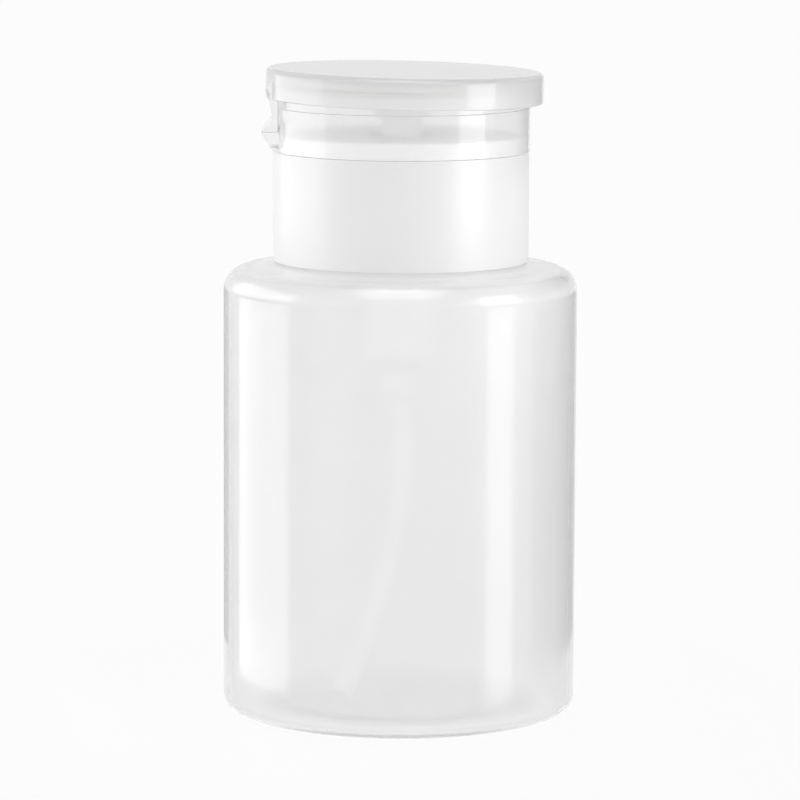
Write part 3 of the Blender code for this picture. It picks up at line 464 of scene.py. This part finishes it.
def buildCollar(size):
    bm = turnedSection([
        (size["bore"], size["bottom"], 0.15),
        (size["radius"], size["rimBottom"], size["edge"] / 2),
        (size["radius"], size["sleeveTop"], 0.15),
        (size["spigot"], size["sleeveTop"], 0.1),
        (size["spigot"], size["deckTop"], size["edge"]),
        (size["deckHole"], size["deckTop"], 0.3),
        (size["deckHole"], size["deckBottom"], 0.1),
        (size["topBore"], size["deckBottom"], 0.3),
        (size["topBore"], size["stepTop"], 0.2),
        (size["bore"], size["stepBottom"], 0.2)], steps=192)
    collar = meshObject("screwCollar", bm)
    combine(collar, meshObject("collarThread", threadRidge(size["thread"])), "UNION")
    placePiece(collar, whitePolypropylene, "collar_unit", "collar")


buildCollar(collarSizes)


# Clear ring with the hinge's fixed half
ringSizes = {
    "radius": 21.1, "bore": 20.0, "bottom": 92.45, "ledge": 99.6, "rim": 20.8, "top": 102.9,
    "innerPoint": 97.5, "foldReach": 22.7, "foldTop": 95.8, "lugInner": 19.1, "lugFoot": 93.1,
    "halfWidth": 7.3, "hollow": 20.55, "hollowTop": 104.0, "hollowBottom": 91.0,
    "flat": 19.7, "flatTop": 106.0, "flatReach": 26.0, "flatGap": 0.3}


def buildRing(size):
    bm = turnedSection([
        (size["bore"], size["bottom"], 0.1),
        (size["radius"], size["bottom"], 0.12),
        (size["radius"], size["ledge"], 0.12),
        (size["rim"], size["ledge"], 0.08),
        (size["rim"], size["top"], 0.25),
        (size["bore"], size["top"], 0.25)], steps=192)
    ring = meshObject("clearRing", bm)
    lug = meshObject("hingeLug", wedge([
        (-size["lugInner"], size["lugFoot"]), (-size["radius"], size["lugFoot"]),
        (-size["foldReach"], size["foldTop"]), (-size["lugInner"], size["foldTop"])], size["halfWidth"]))
    hollow = meshObject("lugHollow", turnedSection([
        (0.0, size["hollowTop"], 0.0), (size["hollow"], size["hollowTop"], 0.0),
        (size["hollow"], size["hollowBottom"], 0.0), (0.0, size["hollowBottom"], 0.0)], steps=192))
    combine(lug, hollow, "DIFFERENCE")
    combine(ring, lug, "UNION")
    flat = meshObject("hingeFlat", wedge([
        (-size["flat"], size["foldTop"]), (-size["flat"], size["flatTop"]),
        (-size["flatReach"], size["flatTop"]), (-size["flatReach"], size["foldTop"])],
        size["halfWidth"] + size["flatGap"]))
    combine(ring, flat, "DIFFERENCE")
    placePiece(ring, clearPolypropylene, "collar_unit", "guard_ring")
    lineInside(ring, smoothInnerSkin, size["innerPoint"])


buildRing(ringSizes)


# Flip lid with the strap of its living hinge, and the foam liner under it
lidSizes = {
    "radius": 22.7, "plate": 1.2, "skirt": 0.9, "drop": 3.8, "edgeFillet": 0.9, "linerRadius": 18.4,
    "lipWall": 0.6, "lipHeight": 0.9, "offset": 0.6, "top": 105.6, "tilt": 1.15, "gap": 0.3,
    "linerThickness": 1.0, "innerPoint": 90.0}
strapSizes = {
    "inner": 20.0, "waist": 20.9, "bottom": 95.9, "foldReach": 22.7, "waistHeight": 98.0, "top": 102.6,
    "root": 104.1, "flare": 1.1, "halfWidth": 7.5, "clearBelow": 100.6,
    "curveShares": [
        (1.0, 1.0), (0.78, 0.88), (0.6, 0.75), (0.43, 0.62), (0.3, 0.5), (0.18, 0.37), (0.1, 0.25),
        (0.03, 0.12)]}


def setOnRing(bm, size):
    # turned a little about the middle of its top, then set on the ring
    bmesh.ops.rotate(
        bm, verts=bm.verts, cent=(0.0, 0.0, 0.0), matrix=Matrix.Rotation(math.radians(size["tilt"]), 3, "Y"))
    bmesh.ops.translate(bm, verts=bm.verts, vec=(size["offset"], 0.0, size["top"]))


def buildLid(size, strap):
    bore = size["radius"] - size["skirt"]
    lipIn = size["linerRadius"] + size["gap"]
    lipOut = lipIn + size["lipWall"]
    under = -size["plate"]
    bm = turnedSection([
        (0.0, under, 0.0),
        (lipIn, under, 0.1),
        (lipIn, under - size["lipHeight"], 0.15),
        (lipOut, under - size["lipHeight"], 0.15),
        (lipOut, under, 0.2),
        (bore, under, 0.4),
        (bore, under - size["drop"], 0.2),
        (size["radius"], under - size["drop"], 0.3),
        (size["radius"], 0.0, size["edgeFillet"]),
        (0.0, 0.0, 0.0)], steps=192)
    setOnRing(bm, size)
    lid = meshObject("flipLid", bm)
    outline = [
        (-strap["inner"], strap["bottom"]), (-strap["inner"], strap["root"]),
        (-strap["waist"], strap["root"])]
    for flareShare, riseShare in strap["curveShares"]:
        outline.append((
            -strap["waist"] - strap["flare"] * flareShare,
            strap["waistHeight"] + (strap["top"] - strap["waistHeight"]) * riseShare))
    outline += [(-strap["waist"], strap["waistHeight"]), (-strap["foldReach"], strap["bottom"])]
    combine(lid, meshObject("hingeStrap", wedge(outline, strap["halfWidth"])), "UNION")
    placePiece(lid, naturalPolypropylene, "lid_unit", "lid")
    lineInside(lid, smoothInnerSkin, size["innerPoint"])
    # the thin strap is as clear as the ring
    lid.data.materials.append(clearPolypropylene)
    for face in lid.data.polygons:
        if face.center.z < strap["clearBelow"] * mm and face.center.x < 0.0:
            face.material_index = 2


def buildLiner(size):
    top = -size["plate"] - size["gap"]
    bm = turnedSection([
        (0.0, top, 0.0), (size["linerRadius"], top, 0.1),
        (size["linerRadius"], top - size["linerThickness"], 0.1),
        (0.0, top - size["linerThickness"], 0.0)], steps=128)
    setOnRing(bm, size)
    placePiece(meshObject("foamLiner", bm), polyethyleneFoam, "lid_unit", "lid_liner")


buildLid(lidSizes, strapSizes)
buildLiner(lidSizes)


# Pump: gasket, housing with its barrel and nipple, cap, seal and ball cage
pumpSizes = {
    "gasketBottom": 90.6, "gasketTop": 91.6, "gasketBore": 15.9, "gasketRadius": 17.5,
    "flange": 17.3, "flangeTop": 93.3, "flangeBottom": 91.9, "hub": 9.1, "hubBottom": 88.9, "pocket": 7.9,
    "pocketFloor": 90.9, "barrel": 6.6, "bore": 5.4, "seatTop": 59.747, "seatBottom": 58.247, "seatHole": 1.5,
    "seatFlare": 1.5, "seatWall": 1.2, "nipple": 3.5, "nippleBore": 2.3, "nippleTop": 57.247,
    "nippleBottom": 52.247, "vent": 0.6, "ventDepth": 5.0, "ventOut": 6.0, "ventDrop": 1.2,
    "capRadius": 7.6, "capBottom": 91.2, "capSeat": 91.7, "guide": 5.1, "guideBottom": 87.0,
    "stemBore": 3.8, "sealRadius": 5.6, "sealTop": 93.0, "sealBottom": 92.0, "fit": 0.3, "cageTop": 64.3,
    "cageRoof": 1.0, "cageBore": 2.6, "cageHole": 1.1, "cageSlot": 1.2, "slotOverrun": 1.0}


def crossSlots(piece, reach, halfWidth, low, high):
    # two slots at right angles
    for turn in (0.0, 90.0):
        bm = wedge([(-reach, low), (reach, low), (reach, high), (-reach, high)], halfWidth)
        bmesh.ops.rotate(
            bm, verts=bm.verts, cent=(0.0, 0.0, 0.0), matrix=Matrix.Rotation(math.radians(turn), 3, "Z"))
        combine(piece, meshObject("slot", bm), "DIFFERENCE")


def buildPump(size):
    bm = turnedSection([
        (size["gasketBore"], size["gasketBottom"], 0.12),
        (size["gasketRadius"], size["gasketBottom"], 0.12),
        (size["gasketRadius"], size["gasketTop"], 0.12),
        (size["gasketBore"], size["gasketTop"], 0.12)], steps=128)
    placePiece(meshObject("neckGasket", bm), nitrileRubber, "pump_core", "neck_gasket")

    bm = turnedSection([
        (size["flange"], size["flangeTop"], 0.2),
        (size["flange"], size["flangeBottom"], 0.2),
        (size["hub"], size["flangeBottom"], 0.4),
        (size["hub"], size["hubBottom"], 0.5),
        (size["barrel"], size["hubBottom"], 0.4),
        (size["barrel"], size["seatTop"] - size["seatWall"], 0.7),
        (size["nipple"], size["nippleTop"], 0.5),
        (size["nipple"], size["nippleBottom"], 0.25),
        (size["nippleBore"], size["nippleBottom"], 0.25),
        (size["nippleBore"], size["nippleTop"], 0.1),
        (size["seatHole"], size["nippleTop"], 0.1),
        (size["seatHole"], size["seatBottom"], 0.1),
        (size["seatHole"] + size["seatFlare"], size["seatTop"], 0.1),
        (size["bore"], size["seatTop"], 0.2),
        (size["bore"], size["pocketFloor"], 0.3),
        (size["pocket"], size["pocketFloor"], 0.1),
        (size["pocket"], size["flangeTop"], 0.2)], steps=112)
    housing = meshObject("pumpHousing", bm)
    outlet = Matrix.Translation((0.0, size["ventOut"], size["hubBottom"] - size["ventDrop"]))
    drill = bmesh.new()
    bmesh.ops.create_cone(
        drill, cap_ends=True, segments=24, radius1=size["vent"], radius2=size["vent"],
        depth=size["ventDepth"], matrix=outlet @ Matrix.Rotation(math.pi / 2, 4, "X"))
    combine(housing, meshObject("ventDrill", drill), "DIFFERENCE")
    placePiece(housing, pumpPolypropylene, "pump_core", "pump_housing")

    bm = turnedSection([
        (size["capRadius"], size["flangeTop"], 0.25),
        (size["capRadius"], size["capBottom"], 0.15),
        (size["guide"], size["capBottom"], 0.2),
        (size["guide"], size["guideBottom"], 0.2),
        (size["stemBore"], size["guideBottom"], 0.2),
        (size["stemBore"], size["capSeat"], 0.1),
        (size["sealRadius"] + size["fit"], size["capSeat"], 0.1),
        (size["sealRadius"] + size["fit"], size["flangeTop"], 0.15)], steps=96)
    placePiece(meshObject("housingCap", bm), pumpPolypropylene, "pump_core", "housing_cap")

    bm = turnedSection([
        (size["stemBore"], size["sealBottom"], 0.2), (size["sealRadius"], size["sealBottom"], 0.2),
        (size["sealRadius"], size["sealTop"], 0.2), (size["stemBore"], size["sealTop"], 0.2)], steps=96)
    placePiece(meshObject("stemSeal", bm), nitrileRubber, "pump_core", "stem_seal")

    low, roof = size["seatTop"] + size["fit"], size["cageTop"] - size["cageRoof"]
    bm = turnedSection([
        (size["cageBore"], low, 0.15), (size["guide"], low, 0.15), (size["guide"], size["cageTop"], 0.25),
        (size["cageHole"], size["cageTop"], 0.15), (size["cageHole"], roof, 0.1),
        (size["cageBore"], roof, 0.2)], steps=96)
    cage = meshObject("ballCage", bm)
    crossSlots(
        cage, size["cageBore"], size["cageSlot"] / 2, roof - size["slotOverrun"],
        size["cageTop"] + size["slotOverrun"])
    placePiece(cage, pumpPolypropylene, "pump_core", "ball_cage")


buildPump(pumpSizes)


# Dip tube: extruded, with the bend that it keeps from its coil
tubeSizes = {
    "radius": 2.0, "wall": 0.7, "weld": 0.01,
    "route": [
        (0.0, 0.0, 56.95), (0.0, 0.0, 54.6), (0.0, 0.0, 52.25), (0.0, 0.0, 50.25), (0.81, -0.61, 45.52),
        (0.81, -3.0, 37.01), (-0.70, -6.2, 28.5), (-2.81, -9.51, 20.03), (-5.5, -12.51, 12.01),
        (-9.4, -15.51, 5.21)]}


def buildDipTube(size):
    curve = bpy.data.curves.new("tubeRoute", "CURVE")
    curve.dimensions = "3D"
    spline = curve.splines.new("NURBS")
    spline.points.add(len(size["route"]) - 1)
    for point, place in zip(spline.points, size["route"]):
        point.co = (*(c * mm for c in place), 1.0)
    spline.use_endpoint_u = True
    spline.order_u = 3
    spline.resolution_u = 16
    curve.bevel_depth = size["radius"] * mm
    curve.bevel_resolution = 12
    route = bpy.data.objects.new("tubeRoute", curve)
    bpy.context.scene.collection.objects.link(route)
    shaped = route.evaluated_get(bpy.context.evaluated_depsgraph_get())
    tube = bpy.data.objects.new("dipTube", bpy.data.meshes.new_from_object(shaped))
    bpy.context.scene.collection.objects.link(tube)
    bpy.data.objects.remove(route)
    bm = bmesh.new()
    bm.from_mesh(tube.data)
    bmesh.ops.remove_doubles(bm, verts=bm.verts, dist=size["weld"] * mm)
    bmesh.ops.recalc_face_normals(bm, faces=bm.faces)
    bmesh.ops.solidify(bm, geom=bm.faces[:], thickness=size["wall"] * mm)
    bmesh.ops.recalc_face_normals(bm, faces=bm.faces)
    bm.to_mesh(tube.data)
    bm.free()
    placePiece(tube, softPolyethylene, "pump_core", "dip_tube")


buildDipTube(tubeSizes)


# Return spring, wound from round wire, with closed and ground ends
springSizes = {
    "bottom": 64.6, "length": 14.5, "mean": 3.7, "wire": 0.4, "sides": 14, "endTurns": 1, "openTurns": 5,
    "endPitch": 1.5, "stroke": 4.2}


def buildSpring(size, stepsPerTurn=48):
    openLength = size["length"] - 2 * size["wire"] - 2 * size["endTurns"] * size["endPitch"]
    openCoil = (size["openTurns"], openLength / size["openTurns"])
    endCoil = (size["endTurns"], size["endPitch"])
    start = Matrix.Translation((size["mean"], 0.0, size["bottom"] + size["wire"]))
    bm = bmesh.new()
    bmesh.ops.create_circle(
        bm, cap_ends=False, segments=size["sides"], radius=size["wire"],
        matrix=start @ Matrix.Rotation(math.pi / 2, 4, "X"))
    ends = bm.edges[:]
    firstRing = bm.edges[:]
    for turns, pitch in (endCoil, openCoil, endCoil):
        grown = bmesh.ops.spin(
            bm, geom=ends, cent=(0.0, 0.0, 0.0), axis=(0.0, 0.0, 1.0),
            dvec=(0.0, 0.0, pitch / stepsPerTurn), angle=math.tau * turns, steps=stepsPerTurn * turns)
        ends = [item for item in grown["geom_last"] if isinstance(item, bmesh.types.BMEdge)]
    bmesh.ops.edgeloop_fill(bm, edges=firstRing)
    bmesh.ops.edgeloop_fill(bm, edges=ends)
    bmesh.ops.remove_doubles(bm, verts=bm.verts, dist=weldDistance)
    bmesh.ops.recalc_face_normals(bm, faces=bm.faces)
    spring = meshObject("returnSpring", bm)
    placePiece(spring, springSteel, "pump_core", "return_spring")
    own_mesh(spring)


buildSpring(springSizes)


# Plunger: stem, piston, retainer, dish and spreader
plungerSizes = {
    "stem": 3.5, "stemTop": 99.9, "stemBore": 1.1, "shoulder": 87.0, "foot": 2.7, "footBottom": 80.7,
    "socket": 1.9, "socketTop": 84.7, "outletSeat": 95.4, "chamber": 2.3, "chamberBottom": 96.6,
    "pistonTop": 86.7, "pistonBottom": 80.7, "piston": 5.1, "pistonBore": 3.0, "waist": 4.4, "lip": 1.0,
    "lipSlope": 1.7,
    "retainerTop": 80.4, "retainerBottom": 79.4, "retainer": 4.3, "retainerTube": 1.6,
    "retainerTubeTop": 84.4, "retainerBore": 0.9}
dishSizes = {
    "radius": 19.4, "top": 102.3, "rimWall": 0.7, "floorTop": 101.3, "floorBottom": 100.2, "fall": 0.3,
    "edge": 0.6, "socketBore": 3.8, "socket": 4.5, "socketBottom": 98.1, "hub": 5.0, "hubTop": 101.4,
    "draft": 0.1, "rimSlope": 1.0, "hubSlope": 0.4, "hole": 2.6, "spreaderHead": 3.7,
    "spreaderHeadTop": 102.2, "spreaderHeadBottom": 101.7, "spreaderSpigot": 2.3, "spreaderBottom": 100.5,
    "spreaderHole": 0.7, "spreaderSlot": 0.8, "slotReach": 6.0, "slotTop": 104.0}


def buildPlunger(size):
    bm = turnedSection([
        (size["stem"], size["stemTop"], 0.2), (size["stem"], size["shoulder"], 0.2),
        (size["foot"], size["shoulder"], 0.1), (size["foot"], size["footBottom"], 0.2),
        (size["socket"], size["footBottom"], 0.15), (size["socket"], size["socketTop"], 0.1),
        (size["stemBore"], size["socketTop"], 0.1), (size["stemBore"], size["outletSeat"], 0.1),
        (size["chamber"], size["chamberBottom"], 0.1), (size["chamber"], size["stemTop"], 0.15)], steps=96)
    placePiece(meshObject("pumpStem", bm), pumpPolypropylene, "plunger", "stem")

    bm = turnedSection([
        (size["pistonBore"], size["pistonTop"], 0.15), (size["piston"], size["pistonTop"], 0.3),
        (size["piston"], size["pistonTop"] - size["lip"], 0.2),
        (size["waist"], size["pistonTop"] - size["lipSlope"], 0.3),
        (size["waist"], size["pistonBottom"] + size["lipSlope"], 0.3),
        (size["piston"], size["pistonBottom"] + size["lip"], 0.2),
        (size["piston"], size["pistonBottom"], 0.3),
        (size["pistonBore"], size["pistonBottom"], 0.15)], steps=96)
    placePiece(meshObject("pumpPiston", bm), softPolyethylene, "plunger", "piston")

    bm = turnedSection([
        (size["retainerBore"], size["retainerBottom"], 0.15), (size["retainer"], size["retainerBottom"], 0.2),
        (size["retainer"], size["retainerTop"], 0.2), (size["retainerTube"], size["retainerTop"], 0.15),
        (size["retainerTube"], size["retainerTubeTop"], 0.2),
        (size["retainerBore"], size["retainerTubeTop"], 0.1)], steps=96)
    placePiece(
        meshObject("pistonRetainer", bm), pumpPolypropylene, "plunger", "piston_retainer")


def buildDish(size):
    rimIn = size["radius"] - size["rimWall"]
    bm = turnedSection([
        (size["socketBore"], size["socketBottom"], 0.15),
        (size["socket"], size["socketBottom"], 0.2),
        (size["socket"], size["floorBottom"], 0.3),
        (size["radius"] - size["draft"], size["floorBottom"] + size["fall"], size["edge"]),
        (size["radius"], size["top"], 0.25),
        (rimIn, size["top"], 0.25),
        (rimIn - size["rimSlope"], size["floorTop"], 0.5),
        (size["hub"] + size["hubSlope"], size["floorTop"] - size["fall"], 0.3),
        (size["hub"], size["hubTop"], 0.15),
        (size["hole"], size["hubTop"], 0.1),
        (size["hole"], size["floorBottom"], 0.1),
        (size["socketBore"], size["floorBottom"], 0.1)])
    placePiece(meshObject("pressDish", bm), pumpPolypropylene, "plunger", "press_dish")

    bm = turnedSection([
        (size["spreaderHole"], size["spreaderBottom"], 0.1),
        (size["spreaderSpigot"], size["spreaderBottom"], 0.2),
        (size["spreaderSpigot"], size["spreaderHeadBottom"], 0.05),
        (size["spreaderHead"], size["spreaderHeadBottom"], 0.1),
        (size["spreaderHead"], size["spreaderHeadTop"], 0.2),
        (size["spreaderHole"], size["spreaderHeadTop"], 0.1)], steps=96)
    spreader = meshObject("spreaderInsert", bm)
    middle = (size["spreaderHeadTop"] + size["spreaderHeadBottom"]) / 2
    crossSlots(spreader, size["slotReach"], size["spreaderSlot"] / 2, middle, size["slotTop"])
    placePiece(spreader, pumpPolypropylene, "plunger", "spreader")


buildPlunger(plungerSizes)
buildDish(dishSizes)


# Check balls
ballSizes = {"inletRadius": 2.0, "inletHeight": 60.0, "outletRadius": 1.7, "outletHeight": 97.128}


def buildBall(name, radius, height, body, node):
    bm = bmesh.new()
    bmesh.ops.create_uvsphere(
        bm, u_segments=48, v_segments=24, radius=radius, matrix=Matrix.Translation((0.0, 0.0, height)))
    placePiece(meshObject(name, bm), polishedSteel, body, node, sharp=60.0)


buildBall("inletBall", ballSizes["inletRadius"], ballSizes["inletHeight"], "inlet_valve", "inlet_ball")
buildBall("outletBall", ballSizes["outletRadius"], ballSizes["outletHeight"], "outlet_valve", "outlet_ball")
print("pieces built")


# Floor, light and camera. A strip shows in the gloss alone, a glow only lights, and a grey card shows in
# the gloss and through clear plastic alone. The lamps' sizes and places are metres.
stageLook = {
    "floor": "#fbfbfb", "floorRadius": 6.0, "floorRoughness": 0.5, "shadowShare": 0.15,
    "roomLevel": 1.0, "roomTilt": (-0.08, -0.1, -0.2), "aimLimit": 0.1,
    "lamps": {
        "leftStrip": {
            "azimuth": -81.0, "distance": 0.055, "height": 0.033, "wide": 0.044, "tall": 0.066,
            "power": 0.0148, "lights": False, "mirrored": True},
        "leftHighStrip": {
            "azimuth": -93.0, "distance": 0.08, "height": 0.092, "wide": 0.09, "tall": 0.041,
            "power": 0.0174, "lights": False, "mirrored": True},
        "leftGlow": {
            "azimuth": -70.0, "distance": 0.06, "height": 0.082, "wide": 0.03, "tall": 0.016,
            "power": 0.0034, "lights": True, "mirrored": False},
        "rightStrip": {
            "azimuth": 51.2, "distance": 0.055, "height": 0.033, "wide": 0.0155, "tall": 0.066,
            "power": 0.0055, "lights": False, "mirrored": True},
        "rightHighStrip": {
            "azimuth": 58.0, "distance": 0.08, "height": 0.094, "wide": 0.034, "tall": 0.04,
            "power": 0.0135, "lights": False, "mirrored": True},
        "rightGlow": {
            "azimuth": 50.0, "distance": 0.06, "height": 0.082, "wide": 0.03, "tall": 0.016,
            "power": 0.0046, "lights": True, "mirrored": False},
        "overheadStrip": {
            "azimuth": 0.0, "distance": 0.1, "height": 0.32, "wide": 0.2, "tall": 0.25,
            "power": 0.24, "lights": False, "mirrored": True},
        "topPanel": {
            "azimuth": 0.0, "distance": 0.02, "height": 0.5, "wide": 0.12, "tall": 0.12,
            "power": 0.04, "lights": True, "mirrored": True}},
    "flags": {
        "leftFlag": {
            "azimuth": -142.0, "distance": 0.07, "height": 0.033, "wide": 0.036, "tall": 0.066,
            "colour": "#cccccc"},
        "rightFlag": {
            "azimuth": 111.0, "distance": 0.07, "height": 0.033, "wide": 0.082, "tall": 0.066,
            "colour": "#c0c0c0"},
        "rightHighFlag": {
            "azimuth": 112.0, "distance": 0.07, "height": 0.101, "wide": 0.085, "tall": 0.034,
            "colour": "#b4b4b4"}}}


def seesBackground(material):
    # 1 for rays from the camera, in gloss and through clear plastic, 0 for the light on the object
    path = addNode(material, "ShaderNodeLightPath")
    either = addNode(material, "ShaderNodeMath", {
        0: path.outputs["Is Camera Ray"], 1: path.outputs["Is Glossy Ray"]}, operation="MAXIMUM")
    anyOfThem = addNode(material, "ShaderNodeMath", {
        0: either.outputs["Value"], 1: path.outputs["Is Transmission Ray"]}, operation="MAXIMUM")
    return anyOfThem.outputs["Value"]


def buildFloor(look):
    # white satin acrylic sheet that keeps the object's shadow on a white background
    bm = bmesh.new()
    bmesh.ops.create_circle(bm, cap_ends=True, segments=96, radius=look["floorRadius"])
    mesh = bpy.data.meshes.new("paleFloor")
    bm.to_mesh(mesh)
    bm.free()
    floor = bpy.data.objects.new("paleFloor", mesh)
    bpy.context.scene.collection.objects.link(floor)
    material, top = startMaterial(
        "castAcrylicSheet", look["floor"], {"Roughness": look["floorRoughness"], "IOR": 1.49})
    tree = material.node_tree
    white = addNode(material, "ShaderNodeEmission", {"Color": (1.0, 1.0, 1.0, 1.0), "Strength": 1.0})
    share = addNode(material, "ShaderNodeMath", {
        0: seesBackground(material), 1: 1.0 - look["shadowShare"]}, operation="MULTIPLY")
    blend = addNode(material, "ShaderNodeMixShader", {
        0: share.outputs["Value"], 1: top.outputs["BSDF"], 2: white.outputs["Emission"]})
    tree.links.new(blend.outputs["Shader"], tree.nodes["Material Output"].inputs["Surface"])
    mesh.materials.append(material)


def buildWorld(look):
    # even light all round, a little weaker towards one side
    world = bpy.data.worlds.new("softRoom")
    bpy.context.scene.world = world
    world.use_nodes = True
    background = world.node_tree.nodes["Background"]
    background.inputs["Color"].default_value = (1.0, 1.0, 1.0, 1.0)
    lean = addNode(world, "ShaderNodeVectorMath", {
        0: addNode(world, "ShaderNodeTexCoord").outputs["Generated"], 1: look["roomTilt"]},
        operation="DOT_PRODUCT")
    strength = addNode(world, "ShaderNodeMath", {
        0: lean.outputs["Value"], 1: look["roomLevel"]}, operation="ADD")
    world.node_tree.links.new(strength.outputs["Value"], background.inputs["Strength"])


def addLamp(name, panel, aimLimit):
    # a soft panel that faces the bottle's axis, level with itself up to a limit
    light = bpy.data.lights.new(name, "AREA")
    light.shape = "RECTANGLE"
    light.size = panel["wide"]
    light.size_y = panel["tall"]
    light.energy = panel["power"]
    turn = math.radians(panel["azimuth"])
    lamp = bpy.data.objects.new(name, light)
    lamp.location = (panel["distance"] * math.sin(turn), -panel["distance"] * math.cos(turn), panel["height"])
    aim = Vector((0.0, 0.0, min(panel["height"], aimLimit))) - lamp.location
    lamp.rotation_euler = aim.to_track_quat("-Z", "Y").to_euler()
    lamp.visible_camera = False
    lamp.visible_diffuse = panel["lights"]
    lamp.visible_transmission = panel["lights"]
    lamp.visible_glossy = panel["mirrored"]
    bpy.context.scene.collection.objects.link(lamp)


def addFlag(name, flag):
    # a grey card beside the object, seen only in its gloss and through it, that draws its edges
    bm = bmesh.new()
    bmesh.ops.create_grid(bm, x_segments=1, y_segments=1, size=0.5)
    bmesh.ops.scale(bm, vec=(flag["wide"], flag["tall"], 1.0), verts=bm.verts)
    bmesh.ops.rotate(bm, verts=bm.verts, cent=(0.0, 0.0, 0.0), matrix=Matrix.Rotation(math.pi / 2, 3, "X"))
    bmesh.ops.translate(bm, verts=bm.verts, vec=(0.0, -flag["distance"], flag["height"]))
    bmesh.ops.rotate(
        bm, verts=bm.verts, cent=(0.0, 0.0, 0.0),
        matrix=Matrix.Rotation(math.radians(flag["azimuth"]), 3, "Z"))
    mesh = bpy.data.meshes.new(name)
    bm.to_mesh(mesh)
    bm.free()
    card = bpy.data.objects.new(name, mesh)
    bpy.context.scene.collection.objects.link(card)
    mesh.materials.append(startMaterial("greyCard", flag["colour"], {})[0])
    card.visible_camera = False
    card.visible_shadow = False
    card.visible_diffuse = False


# Fitted to the ellipses of lid, shoulder and foot: metres and radians, and millimetres in the camera
cameraPlace = {
    "distance": 0.760866, "height": 0.157613, "pitch": 0.139, "roll": 0.0045, "lens": 209.93, "sensor": 36.0,
    "clipStart": 0.01}


def addCamera(place):
    camera = bpy.data.cameras.new("photoCamera")
    camera.lens = place["lens"]
    camera.sensor_width = place["sensor"]
    camera.clip_start = place["clipStart"]
    eye = bpy.data.objects.new("photoCamera", camera)
    eye.location = (0.0, -place["distance"], place["height"])
    look = Euler((math.pi / 2 - place["pitch"], 0.0, 0.0)).to_matrix()
    eye.rotation_euler = (look @ Matrix.Rotation(place["roll"], 3, "Z")).to_euler()
    bpy.context.scene.collection.objects.link(eye)
    bpy.context.scene.camera = eye


buildFloor(stageLook)
buildWorld(stageLook)
for lampName, lampPlace in stageLook["lamps"].items():
    addLamp(lampName, lampPlace, stageLook["aimLimit"])
for flagName, flagPlace in stageLook["flags"].items():
    addFlag(flagName, flagPlace)
addCamera(cameraPlace)
bpy.context.scene.view_settings.view_transform = "Standard"
print("stage set")
